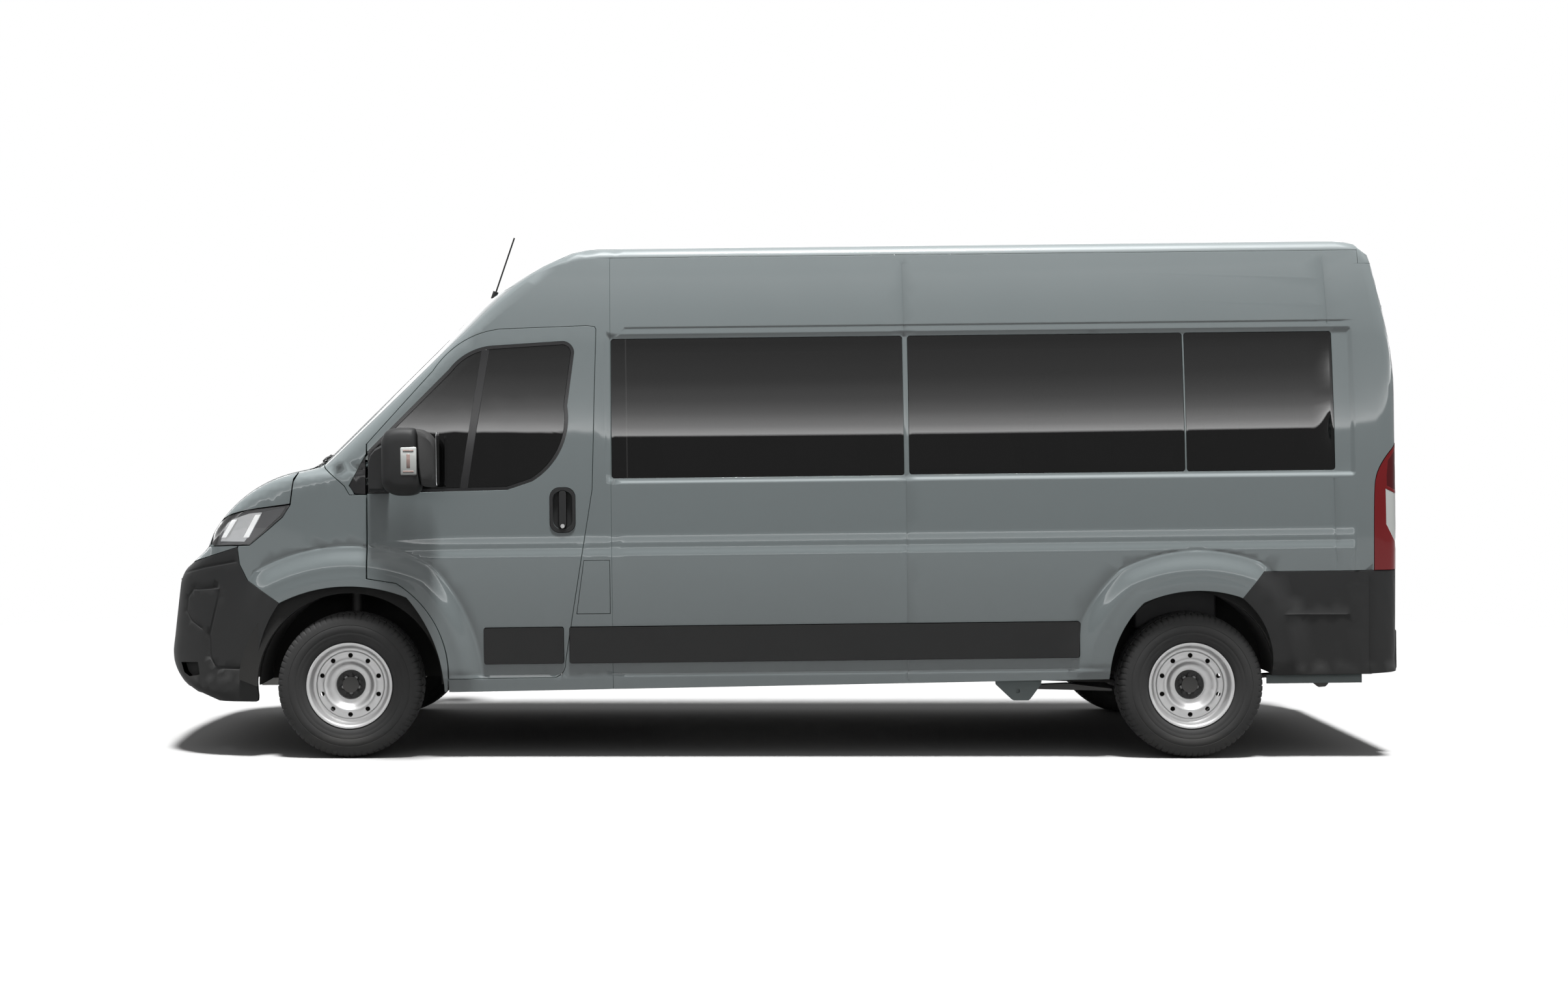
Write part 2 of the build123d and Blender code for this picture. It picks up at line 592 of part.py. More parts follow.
driver = seat(900, driver_y, 500, floor_top, 1010, (-150, 150))
mate = seat(900, 160, 450, floor_top, 1010, (-150, 150)) + seat(900, 611, 450, floor_top, 1010, (-150, 150))
put("cab_seats", driver + mate)
row_pitch = 850
row_start_x = 2060
place_width = 440
first_place_y = -640
chairs = []
for row in range(3):
    x = row_start_x + row * row_pitch
    for place in range(3):
        y = first_place_y + place * (place_width + 1)
        leg_places = (-20, 150) if place == 0 else (-150, 150)
        chairs.append(seat(x, y, place_width, floor_top, 1000, leg_places))
benches = chairs[0]
for chair in chairs[1:]:
    benches = benches + chair
put("bench_seats", benches)

# Door mirrors, on the doors
mirror_arm = rod((200, -1000, 1340), (290, -1110, 1360), 38) - outer
mirror_head = box(205, 455, -1255, -1085, 1255, 1590)
mirror_head = fillet(mirror_head.edges().filter_by(Axis.Y), 55)
sail_steps = [(108, 1272), (340, 1272), (200, 1440), (108, 1440), (108, 1272)]
sail = (outer - pane_hull) & side_prism(shape(sail_steps), *band(-1, 700, outer_y))
door_mirror = mirror_head + mirror_arm + (sail & pane_zone)
put_sides("mirror", door_mirror)

# Door handles, stood a little off the skin
handle_band = front_prism(grown(section_steps, 12) - grown(section_steps, 1), 975, 1092)
door_handle = handle_band & box(975, 1092, *band(-1, 900, outer_y), 1075, 1285)
put_sides("door_trim", door_handle + door_strip)

# Front door hinges: pins in the shut gap, on the skin line
hinge_x = 96
hinge_low = (hinge_x, -1020.8, 900)
hinge_high = (hinge_x, -1008.2, 1460)
hinge_along = (Vector(hinge_high) - Vector(hinge_low)).normalized()
door_pin_r = 3.7
pin_length = 60
low_pin = rod(hinge_low, Vector(hinge_low) + hinge_along * pin_length, door_pin_r)
high_pin = rod(Vector(hinge_high) - hinge_along * pin_length, hinge_high, door_pin_r)
left_pins = low_pin + high_pin

# Bonnet hinges: pins across the gap at its rear edge
bonnet_hinge = (-259, 1382)
pins = [rod((bonnet_hinge[0], y, bonnet_hinge[1]), (bonnet_hinge[0], y + 60, bonnet_hinge[1]), 2.7) for y in (-90, 30)]

# Rear door hinges: knuckles behind the corner posts, three a side
rear_hinge = (tail_x + 15, 845)
rear_hinge_z = (760, 1540, 2080)
knuckle_r = 12
rear_pin_r = 5
knuckle_h = 45
post_leaves = []
door_leaves = []
for z in rear_hinge_z:
    x, y = rear_hinge
    fixed = box(tail_x - 95, x, -y - 26, -y - 3, z - knuckle_h, z) + rod((x, -y, z - knuckle_h), (x, -y, z), knuckle_r)
    fixed = fixed + rod((x, -y, z - 1), (x, -y, z + knuckle_h), rear_pin_r)
    post_leaves.append(fixed - outer)
    swing = box(tail_x - 95, x + 8, -y + 3, -y + 32, z + run_gap, z + knuckle_h)
    swing = swing + rod((x, -y, z + run_gap), (x, -y, z + knuckle_h), knuckle_r)
    swing = swing - rod((x, -y, z - 1), (x, -y, z + knuckle_h + 1), rear_pin_r + run_gap)
    door_leaves.append(swing - outer)
left_hinges = left_pins + post_leaves[0] + post_leaves[1] + post_leaves[2]
put("body_hinges", left_hinges + mirror(left_hinges, about=Plane.XZ) + pins[0] + pins[1])
put_sides("rear_door", leaf + door_leaves[0] + door_leaves[1] + door_leaves[2])

# Aerial on the front of the roof
aerial_foot = (650, -300, roof_top_z - 259)
aerial_tip = (755, -300, roof_top_z + 40)
aerial = rod(aerial_foot, aerial_tip, 4) - outer
foot_low = (645, -300, roof_top_z - 270)
foot_high = (658, -300, roof_top_z - 233)
put("aerial", aerial + (rod(foot_low, foot_high, 14) - outer))

# Fuel flap in the skin behind the left door
flap_steps = [(1131, 937), (1256, 937), (1256, 681), (1094, 681), (1131, 937)]
flap_t = 12
skin_band = grown(section_steps, 0) - grown(section_steps, -flap_t)
flap = front_prism(skin_band, 1080, 1270) & side_prism(grown(flap_steps, -3), *band(-1, 900, outer_y))
pocket_band = grown(section_steps, 5) - grown(section_steps, -flap_t - run_gap)
pocket = front_prism(pocket_band, 1080, 1270) & side_prism(shape(flap_steps), *band(-1, 900, outer_y))
flap_hinge = (1253.6, -1016.5)
flap_pin = rod((*flap_hinge, 780), (*flap_hinge, 930), 2.2)
put("fuel_flap", flap + flap_pin)
put("cab_side_left", nodes["cab_side_left"][0] - pocket)

# The body group leans about the front wheel centres, then the whole stands with its origin on the
# road under the middle of its bounds.
placed = {}
for name, (solid, tilts) in nodes.items():
    placed[name] = solid.rotate(Axis((0, 0, tyre_r), (0, 1, 0)), -rake) if tilts else solid
spans = [solid.bounding_box() for solid in placed.values()]
middle_x = (min(b.min.X for b in spans) + max(b.max.X for b in spans)) / 2
for name, solid in placed.items():
    export_step(Pos(-middle_x, 0, 0) * solid, "parts/" + name + ".step")
print("middle", round(middle_x, 3), "length", max(b.max.X for b in spans) - min(b.min.X for b in spans),
      "height", max(b.max.Z for b in spans), "low", min(b.min.Z for b in spans), "nodes", len(placed))
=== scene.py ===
import json
import math

import bmesh
import bpy
import numpy as np
from mathutils import Matrix, Vector
from mathutils.geometry import delaunay_2d_cdt
from mathutils.kdtree import KDTree

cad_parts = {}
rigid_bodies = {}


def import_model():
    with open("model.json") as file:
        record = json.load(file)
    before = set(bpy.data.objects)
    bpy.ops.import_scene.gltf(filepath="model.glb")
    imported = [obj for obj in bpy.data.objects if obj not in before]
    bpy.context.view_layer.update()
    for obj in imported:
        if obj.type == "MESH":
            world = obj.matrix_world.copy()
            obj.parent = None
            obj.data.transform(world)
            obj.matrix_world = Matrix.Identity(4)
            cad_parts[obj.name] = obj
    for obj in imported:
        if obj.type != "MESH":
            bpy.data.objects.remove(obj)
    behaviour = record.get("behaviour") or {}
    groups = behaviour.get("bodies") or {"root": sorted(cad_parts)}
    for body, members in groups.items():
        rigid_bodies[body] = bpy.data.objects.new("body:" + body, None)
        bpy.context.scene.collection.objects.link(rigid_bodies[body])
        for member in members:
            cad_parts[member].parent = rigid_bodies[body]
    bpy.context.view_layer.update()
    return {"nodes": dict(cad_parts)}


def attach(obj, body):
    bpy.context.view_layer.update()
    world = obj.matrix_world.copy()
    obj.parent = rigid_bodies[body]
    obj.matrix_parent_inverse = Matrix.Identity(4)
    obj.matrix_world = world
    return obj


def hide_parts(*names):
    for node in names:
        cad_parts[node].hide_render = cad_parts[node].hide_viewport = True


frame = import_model()
scene = bpy.context.scene
scene.view_settings.view_transform = "Standard"

# ---------------------------------------------------------------- Camera
# A level camera square to the left side, 11.8 m from the centre line and 1.54 m up, so that the
# near side, the shadow and a little of the far wheels show.
LENS_MM, SENSOR_MM, FAR_M = 51.81, 36.0, 400.0
FRAME_PX, AXIS_PX = (2409, 1512), (1092, 670)       # frame size, and where the level view axis meets it
EYE = (-0.3247, -11.8, 1.544)
camera = bpy.data.objects.new("camera", bpy.data.cameras.new("camera"))
camera.data.lens = LENS_MM
camera.data.sensor_width = SENSOR_MM
camera.data.shift_x = (FRAME_PX[0] / 2 - AXIS_PX[0]) / FRAME_PX[0]
camera.data.shift_y = -(FRAME_PX[1] / 2 - AXIS_PX[1]) / FRAME_PX[0]
camera.data.clip_end = FAR_M
camera.location = EYE
camera.rotation_euler = (math.radians(90), 0, 0)
scene.collection.objects.link(camera)
scene.camera = camera

# ---------------------------------------------------------------- Studio
# A pale floor that keeps the van's shadow, an even overhead light, and round the van a ring of
# light banks, as car studios have, whose bright low band shows in the glass and the clear coat.
world = bpy.data.worlds.new("studio_sky")
world.use_nodes = True
sky = world.node_tree
sky.nodes.clear()
sky_light = sky.nodes.new("ShaderNodeBackground")
sky_seen = sky.nodes.new("ShaderNodeBackground")
sky_mix = sky.nodes.new("ShaderNodeMixShader")
sky_out = sky.nodes.new("ShaderNodeOutputWorld")
sky_light.inputs["Strength"].default_value = 1.0
sky_seen.inputs["Color"].default_value = (1, 1, 1, 1)
sky.links.new(sky_light.outputs[0], sky_mix.inputs[1])
sky.links.new(sky_seen.outputs[0], sky_mix.inputs[2])
sky.links.new(sky_mix.outputs[0], sky_out.inputs["Surface"])
scene.world = world


def graded(tree, coordinate, reach, bands, peak):
    """A grey that changes with height, from (height, level) pairs."""
    at = tree.nodes.new("ShaderNodeTexCoord")
    split = tree.nodes.new("ShaderNodeSeparateXYZ")
    share = tree.nodes.new("ShaderNodeMath")
    share.operation = "DIVIDE"
    share.inputs[1].default_value = reach
    shades = tree.nodes.new("ShaderNodeValToRGB")
    ramp = shades.color_ramp
    while len(ramp.elements) < len(bands):
        ramp.elements.new(0.5)
    for stop, (height, level) in zip(ramp.elements, bands):
        stop.position = height / reach
        stop.color = (level / peak, level / peak, level / peak, 1)
    tree.links.new(at.outputs[coordinate], split.inputs[0])
    tree.links.new(split.outputs["Z"], share.inputs[0])
    tree.links.new(share.outputs[0], shades.inputs[0])
    return shades.outputs["Color"]


def seen_by(tree):
    """1 for the rays that show the pale background: those of the camera, of gloss and through glass."""
    rays = tree.nodes.new("ShaderNodeLightPath")
    either = tree.nodes.new("ShaderNodeMath")
    either.operation = "MAXIMUM"
    any_of = tree.nodes.new("ShaderNodeMath")
    any_of.operation = "MAXIMUM"
    tree.links.new(rays.outputs["Is Camera Ray"], either.inputs[0])
    tree.links.new(rays.outputs["Is Glossy Ray"], either.inputs[1])
    tree.links.new(either.outputs[0], any_of.inputs[0])
    tree.links.new(rays.outputs["Is Transmission Ray"], any_of.inputs[1])
    return any_of.outputs[0]


SKY_BANDS = [(0.0, 0.08), (0.12, 0.14), (0.35, 0.3), (1.0, 0.5)]        # (sine of the height angle, level)
sky.links.new(graded(sky, "Generated", 1.0, SKY_BANDS, 1.0), sky_light.inputs["Color"])
sky.links.new(seen_by(sky), sky_mix.inputs[0])

BANK_REACH, BANK_TOP, BANK_SIDES, BANK_PEAK = 28.0, 18.0, 96, 8.0
BANK_BANDS = [              # (height in metres, level)
    (0.0, 0.28), (4.66, 0.28), (4.76, 6.8), (5.36, 4.0), (6.15, 2.2), (6.91, 1.35), (8.0, 0.8), (9.6, 0.52),
    (14.0, 0.7), (18.0, 1.4),
]
bank_mesh = bpy.data.meshes.new("light_banks")
bank_ring = [(BANK_REACH * math.cos(math.tau * k / BANK_SIDES),
              BANK_REACH * math.sin(math.tau * k / BANK_SIDES))
             for k in range(BANK_SIDES)]
bank_mesh.from_pydata(
    [(x, y, 0.0) for x, y in bank_ring] + [(x, y, BANK_TOP) for x, y in bank_ring], [],
    [(k, (k + 1) % BANK_SIDES, (k + 1) % BANK_SIDES + BANK_SIDES, k + BANK_SIDES) for k in range(BANK_SIDES)])
banks = bpy.data.objects.new("light_banks", bank_mesh)
banks.visible_camera = banks.visible_diffuse = banks.visible_transmission = banks.visible_shadow = False
scene.collection.objects.link(banks)
bank_glow = bpy.data.materials.new("light_banks")
bank_glow.use_nodes = True
bank_tree = bank_glow.node_tree
bank_tree.nodes.clear()
bank_light = bank_tree.nodes.new("ShaderNodeEmission")
bank_light.inputs["Strength"].default_value = BANK_PEAK
bank_out = bank_tree.nodes.new("ShaderNodeOutputMaterial")
bank_tree.links.new(graded(bank_tree, "Object", BANK_TOP, BANK_BANDS, BANK_PEAK), bank_light.inputs["Color"])
bank_tree.links.new(bank_light.outputs[0], bank_out.inputs["Surface"])
bank_mesh.materials.append(bank_glow)

LAMP_STRENGTH, LAMP_SPREAD, LAMP_LEAN = 7.0, math.radians(9), (math.radians(11), math.radians(3), 0)
sun = bpy.data.objects.new("overhead_lamp", bpy.data.lights.new("overhead_lamp", "SUN"))
sun.data.energy = LAMP_STRENGTH
sun.data.angle = LAMP_SPREAD
sun.rotation_euler = LAMP_LEAN
scene.collection.objects.link(sun)

floor_mesh = bpy.data.meshes.new("studio_floor")
FLOOR_HALF, FLOOR_GREY, FLOOR_BOUNCE = 120.0, 0.42, 0.03
SHADOW_END, WHITE_START = 4.2, 9.0                  # metres from the middle, where the floor fades to white
floor_mesh.from_pydata([(x * FLOOR_HALF, y * FLOOR_HALF, 0) for x, y in ((-1, -1), (1, -1), (1, 1), (-1, 1))],
                       [], [(0, 1, 2, 3)])
floor = bpy.data.objects.new("studio_floor", floor_mesh)
scene.collection.objects.link(floor)
floor_paint = bpy.data.materials.new("studio_floor")
floor_paint.use_nodes = True
floor_tree = floor_paint.node_tree
floor_tree.nodes.clear()
near = floor_tree.nodes.new("ShaderNodeBsdfDiffuse")
near.inputs["Color"].default_value = (FLOOR_GREY, FLOOR_GREY, FLOOR_GREY, 1)
unseen = floor_tree.nodes.new("ShaderNodeBsdfDiffuse")
unseen.inputs["Color"].default_value = (FLOOR_BOUNCE, FLOOR_BOUNCE, FLOOR_BOUNCE, 1)
far = floor_tree.nodes.new("ShaderNodeEmission")
seen = seen_by(floor_tree)
choose = floor_tree.nodes.new("ShaderNodeMixShader")
fade = floor_tree.nodes.new("ShaderNodeMixShader")
here = floor_tree.nodes.new("ShaderNodeTexCoord")
reach = floor_tree.nodes.new("ShaderNodeVectorMath")
reach.operation = "LENGTH"
spread = floor_tree.nodes.new("ShaderNodeMapRange")
spread.inputs["From Min"].default_value = SHADOW_END
spread.inputs["From Max"].default_value = WHITE_START
fade_seen = floor_tree.nodes.new("ShaderNodeMath")
fade_seen.operation = "MULTIPLY"
floor_out = floor_tree.nodes.new("ShaderNodeOutputMaterial")
floor_tree.links.new(seen, choose.inputs[0])
floor_tree.links.new(unseen.outputs[0], choose.inputs[1])
floor_tree.links.new(near.outputs[0], choose.inputs[2])
floor_tree.links.new(here.outputs["Object"], reach.inputs[0])
floor_tree.links.new(reach.outputs["Value"], spread.inputs["Value"])
floor_tree.links.new(spread.outputs["Result"], fade_seen.inputs[0])
floor_tree.links.new(seen, fade_seen.inputs[1])
floor_tree.links.new(fade_seen.outputs[0], fade.inputs[0])
floor_tree.links.new(choose.outputs[0], fade.inputs[1])
floor_tree.links.new(far.outputs[0], fade.inputs[2])
floor_tree.links.new(fade.outputs[0], floor_out.inputs["Surface"])
floor_mesh.materials.append(floor_paint)

# ---------------------------------------------------------------- Body skin
# The pressed steel body, as one form that every outer panel, pane and lamp is cut from: sides on a
# long arc, a bowed nose and screen, a crowned roof, rounded corners, and the pressings in the sides.
WHEELBASE, TYRE_R, RAKE, MIDDLE_X = 4035.0, 348.0, math.radians(0.64), 2056.005
NOSE_AXIS_X = 3400.0
SEAM_FRONT_X, SEAM_MID_X = 1265.0, 2675.0
LEANING = (
    Matrix.Scale(0.001, 4) @ Matrix.Translation((-MIDDLE_X, 0, TYRE_R))
    @ Matrix.Rotation(-RAKE, 4, "Y") @ Matrix.Translation((0, 0, -TYRE_R)))
UPRIGHT = Matrix.Scale(0.001, 4) @ Matrix.Translation((-MIDDLE_X, 0, 0))


def arc_points(a, b, c, count=24):
    """Points on the circle from a through b to c."""
    (ax, ay), (bx, by), (cx, cy) = a, b, c
    d = 2 * (ax * (by - cy) + bx * (cy - ay) + cx * (ay - by))
    ux = ((ax**2 + ay**2) * (by - cy) + (bx**2 + by**2) * (cy - ay) + (cx**2 + cy**2) * (ay - by)) / d
    uy = ((ax**2 + ay**2) * (cx - bx) + (bx**2 + by**2) * (ax - cx) + (cx**2 + cy**2) * (bx - ax)) / d
    radius = math.hypot(ax - ux, ay - uy)
    t0, t1, t2 = (math.atan2(p[1] - uy, p[0] - ux) for p in (a, b, c))
    turn = (t2 - t0) % (2 * math.pi)
    if (t1 - t0) % (2 * math.pi) > turn:
        turn -= 2 * math.pi
    return [(ux + radius * math.cos(t0 + turn * i / count), uy + radius * math.sin(t0 + turn * i / count))
            for i in range(count + 1)]


def outline(*steps):
    """A polyline of plain points and of (via, to) arcs, with a step count if they need one."""
    points = [steps[0]]
    for step in steps[1:]:
        if isinstance(step[0], tuple):
            points += arc_points(points[-1], *step)[1:]
        else:
            points.append(step)
    return points


def edges_of(points):
    """Outward unit normals and offsets of a convex outline that runs anticlockwise."""
    a = np.array(points, float)
    run = np.diff(a, axis=0)
    run /= np.linalg.norm(run, axis=1)[:, None]
    normals = np.stack([run[:, 1], -run[:, 0]], 1)
    return normals, np.einsum("ij,ij->i", normals, a[:-1])


def beyond(edges, u, v):
    """How far each (u, v) lies outside a convex outline."""
    normals, offsets = edges
    return (normals[:, 0][:, None] * u + normals[:, 1][:, None] * v - offsets[:, None]).max(0)


section_edges = edges_of(outline(
    (978, 150), ((1018, 1050), (960, 1990), 60), ((926, 2190), (880, 2391)), ((863.4, 2419.4), (835, 2436)),
    ((430, 2477.2), (0, 2492))))
plan_edges = edges_of(outline(
    (-1060, 0), (-1000, 560), ((-810, 830), (-560, 950)), (-80, 1008), (150, 1030), (4925, 1030),
    ((5022, 985), (5070, 888)), (5070, 0))[::-1])
tail_edges = edges_of(outline(
    (5045, 150), (5045, 1031), (5055, 1469), ((5044, 1760), (5012, 1997)), (4981, 2173), (4948, 2350),
    ((4858, 2462.5), (4720, 2505)), (1250, 2505)))
nose_line = np.array(outline(
    (-640, 100), (-700, 262), (-868, 322), ((-955, 420), (-962, 545)), (-922, 850), (-895, 905),
    (-790, 1000), (-760, 1080), ((-600, 1262), (-250, 1385)), (508, 2127), ((750, 2325), (1140, 2484)),
    (1250, 2505), (1300, 2512)))
SOFT_REACH, SOFT_WIDTH = 18, 6.0                    # a bell, in steps of nose_z, that rounds the nose line
nose_z = np.arange(100, 2512, 2.0)
nose_x = np.interp(nose_z, nose_line[:, 1], nose_line[:, 0])
soften = np.exp(-0.5 * (np.arange(-SOFT_REACH, SOFT_REACH + 1) / SOFT_WIDTH) ** 2)
nose_x = np.convolve(np.pad(nose_x, SOFT_REACH, mode="edge"), soften / soften.sum(), mode="valid")
nose_slope = 1 / np.sqrt(1 + np.gradient(nose_x, nose_z) ** 2)


def larger(a, b, blend):
    """The larger of two values, rounded over where they meet."""
    h = np.maximum(blend - np.abs(a - b), 0) / blend
    return np.maximum(a, b) + h * h * blend / 4


def ease(value, start, end):
    """Rises smoothly from 0 at start to 1 at end."""
    t = np.clip((value - start) / (end - start), 0, 1)
    return t * t * (3 - 2 * t)


def off_line(x, z, points):
    """Distance from each (x, z) to a polyline."""
    line = np.array(points, float)
    start, run = line[:-1], np.diff(line, axis=0)
    dx, dz = x[:, None] - start[:, 0], z[:, None] - start[:, 1]
    t = np.clip((dx * run[:, 0] + dz * run[:, 1]) / (run * run).sum(1), 0, 1)
    return np.sqrt(((dx - t * run[:, 0]) ** 2 + (dz - t * run[:, 1]) ** 2).min(1))


def off_box(x, z, x0, x1, z0, z1, radius):
    """Signed distance to a rounded rectangle, negative inside."""
    dx = np.abs(x - (x0 + x1) / 2) - (x1 - x0) / 2 + radius
    dz = np.abs(z - (z0 + z1) / 2) - (z1 - z0) / 2 + radius
    return np.hypot(np.maximum(dx, 0), np.maximum(dz, 0)) + np.minimum(np.maximum(dx, dz), 0) - radius


front_arch = outline((-445, 302), ((-415, 590), (-331, 749)), ((-10, 827), (285, 772)),
                     ((393, 602), (459, 313)))
rear_arch = outline((3638, 341), ((3695, 565), (3801, 707)), ((4050, 762), (4268, 727)),
                    ((4376, 597), (4415, 350)))
front_arch_far = outline((-445, 250), *front_arch[1:-1], (459, 250))
rear_arch_far = outline((3638, 250), *rear_arch[1:-1], (4415, 250))
FRAME_X, FRAME_Z = (1233, 4830), (1299, 2021)       # recess round the side windows
BELT_END_X, DROP_Z = 4822, 2050                     # rear end of the belt pressing, foot of the roof drain
BUMPER_GROOVE = [(-728, 626), (-781, 658), (-809, 701), (-801, 772), (-769, 811), (-632, 823), (-636, 774),
                 (-684, 591), (-681, 486), (-650, 436), (-464, 431)]
BUMPER_CREASE = [(-828, 885), (-707, 919), (-558, 946)]
EMBOSS = [(4494, 642), (4771, 639)]


def pressings(x, z):
    """How far the side pressings stand out of the plain skin."""
    rise = 5 * ease(z, 1062, 1010) + 8 * ease(z, 1003, 950)
    tail_off = ease(x, BELT_END_X + 6, BELT_END_X - 14)
    head_on = ease(x, -330, 640)
    belt = rise * tail_off * head_on * ease(z, 330, 900)
    window = ease(off_box(x, z, *FRAME_X, *FRAME_Z, 22), 0, -26) * -10
    drop = -3 * ease(z, DROP_Z + 2, DROP_Z - 3) * ease(z, 1290, 2010)
    drop = drop * ease(x, 1212, 1230) * ease(x, 4838, 4820)
    flare = 0.0
    for arch in (front_arch_far, rear_arch_far):
        gap = off_line(x, z, arch)
        flare = flare + 22 * ease(gap, 192, 84) + 3 * ease(gap, 84, 20) - 2.5 * ease(np.abs(gap - 192), 9, 1)
    flare = flare * ease(x, -560, -380) * ease(z, 300, 420)
    sill = 5 * ease(z, 398, 372)
    seams = 0.0
    for seam_x in (SEAM_MID_X, 4728 - (z - 846) * 22 / 1530):
        seams = seams - 2.6 * ease(np.abs(x - seam_x), 3.6, 0.8)
    grooves = -5 * ease(off_line(x, z, BUMPER_GROOVE), 9, 1) - 3 * ease(off_line(x, z, BUMPER_CREASE), 9, 1)
    grooves = grooves - 3 * ease(np.abs(x - 4885), 4, 0.8) * ease(z, 852, 846)
    grooves = grooves + 2 * ease(off_line(x, z, EMBOSS), 6, 2)
    return np.maximum(belt, 0) + window + drop + flare + sill + seams + grooves


def skin(points):
    """Distance of body-frame points outside the body's outer skin, negative inside."""
    x, y, z = points[:, 0], points[:, 1], points[:, 2]
    side = np.abs(y)
    radial = NOSE_AXIS_X - np.hypot(NOSE_AXIS_X - x, y)
    nose = (np.interp(z, nose_z, nose_x) - radial) * np.interp(z, nose_z, nose_slope)
    value = larger(beyond(section_edges, side, z), nose, np.interp(z, (1300, 1900, 2300), (105, 50, 24)))
    value = larger(value, beyond(plan_edges, x, side), 40)
    value = larger(value, beyond(tail_edges, x, z), 60)
    return value - pressings(x, z) * ease(side, 760, 900)


SETTLE_BACK, SETTLE_REACH, SETTLE_STEP, SETTLE_HALVINGS = 1500, 3000.0, 60.0, 16


def settle(points, way):
    """Moves each point along one direction until it meets the skin."""
    way = np.array(way, float)
    way /= np.linalg.norm(way)
    start = points - way * SETTLE_BACK
    high = np.full(len(points), SETTLE_REACH)
    left = np.arange(len(points))
    for reach in np.arange(0, SETTLE_REACH, SETTLE_STEP):
        inside = skin(start[left] + way * reach) < 0
        high[left[inside]] = reach
        left = left[~inside]
        if not len(left):
            break
    low = high - SETTLE_STEP
    for _ in range(SETTLE_HALVINGS):
        middle = (low + high) / 2
        inside = skin(start + way * middle[:, None]) < 0
        high = np.where(inside, middle, high)
        low = np.where(inside, low, middle)
    return start + way * ((low + high) / 2)[:, None]


NORMAL_STEP = 1.5


def leaning_out(points):
    """Unit normals of the skin at points on it."""
    normals = np.zeros_like(points)
    for axis in range(3):
        step = np.zeros(3)
        step[axis] = NORMAL_STEP
        normals[:, axis] = skin(points + step) - skin(points - step)
    return normals / np.maximum(np.linalg.norm(normals, axis=1), 1e-9)[:, None]


def spaced(points, spacing):
    """A polyline with points added so that none are further apart than the spacing."""
    out = []
    for a, b in zip(points, points[1:]):
        a, b = np.array(a, float), np.array(b, float)
        count = max(1, int(math.ceil(np.linalg.norm(b - a) / spacing)))
        out += [a + (b - a) * i / count for i in range(count)]
    out.append(np.array(points[-1], float))
    return out


# The ways in which lines are carried onto the skin: from the left, the front, above, behind and the screen.
SIDE_WAY, FRONT_WAY, TOP_WAY, BACK_WAY, SCREEN_WAY = (0, 1, 0), (1, 0, 0), (0, 0, -1), (-1, 0, 0), (1, 0, -1)


def on_side(points, spacing=24):
    """Side-view points (x, z), carried onto the left side of the skin."""
    flat = np.array([(p[0], -1000, p[1]) for p in spaced(points, spacing)])
    return settle(flat, SIDE_WAY)


def on_front(points, spacing=24):
    """Front-view points (y, z), carried onto the front of the skin."""
    flat = np.array([(-400, p[0], p[1]) for p in spaced(points, spacing)])
    return settle(flat, FRONT_WAY)


def inside_loop(u, v, loop):
    """Which (u, v) lie inside a closed loop."""
    result = np.zeros(u.shape, bool)
    for (ax, ay), (bx, by) in zip(loop, np.roll(loop, -1, axis=0)):
        crosses = (ay > v) != (by > v)
        result ^= crosses & (u < (bx - ax) * (v - ay) / (by - ay + 1e-12) + ax)
    return result


EDGE_GAP, CLEAR_SHARE = 10.0, 0.45                  # free room at a panel's edge, and round its rows
ON_MIDDLE = 0.5                                     # this near the middle plane counts as on it
HEM = [(1.3, 0.7, 0.5), (1.8, 2.4, 0.97)]           # (outward, inward, how far the normal has turned)


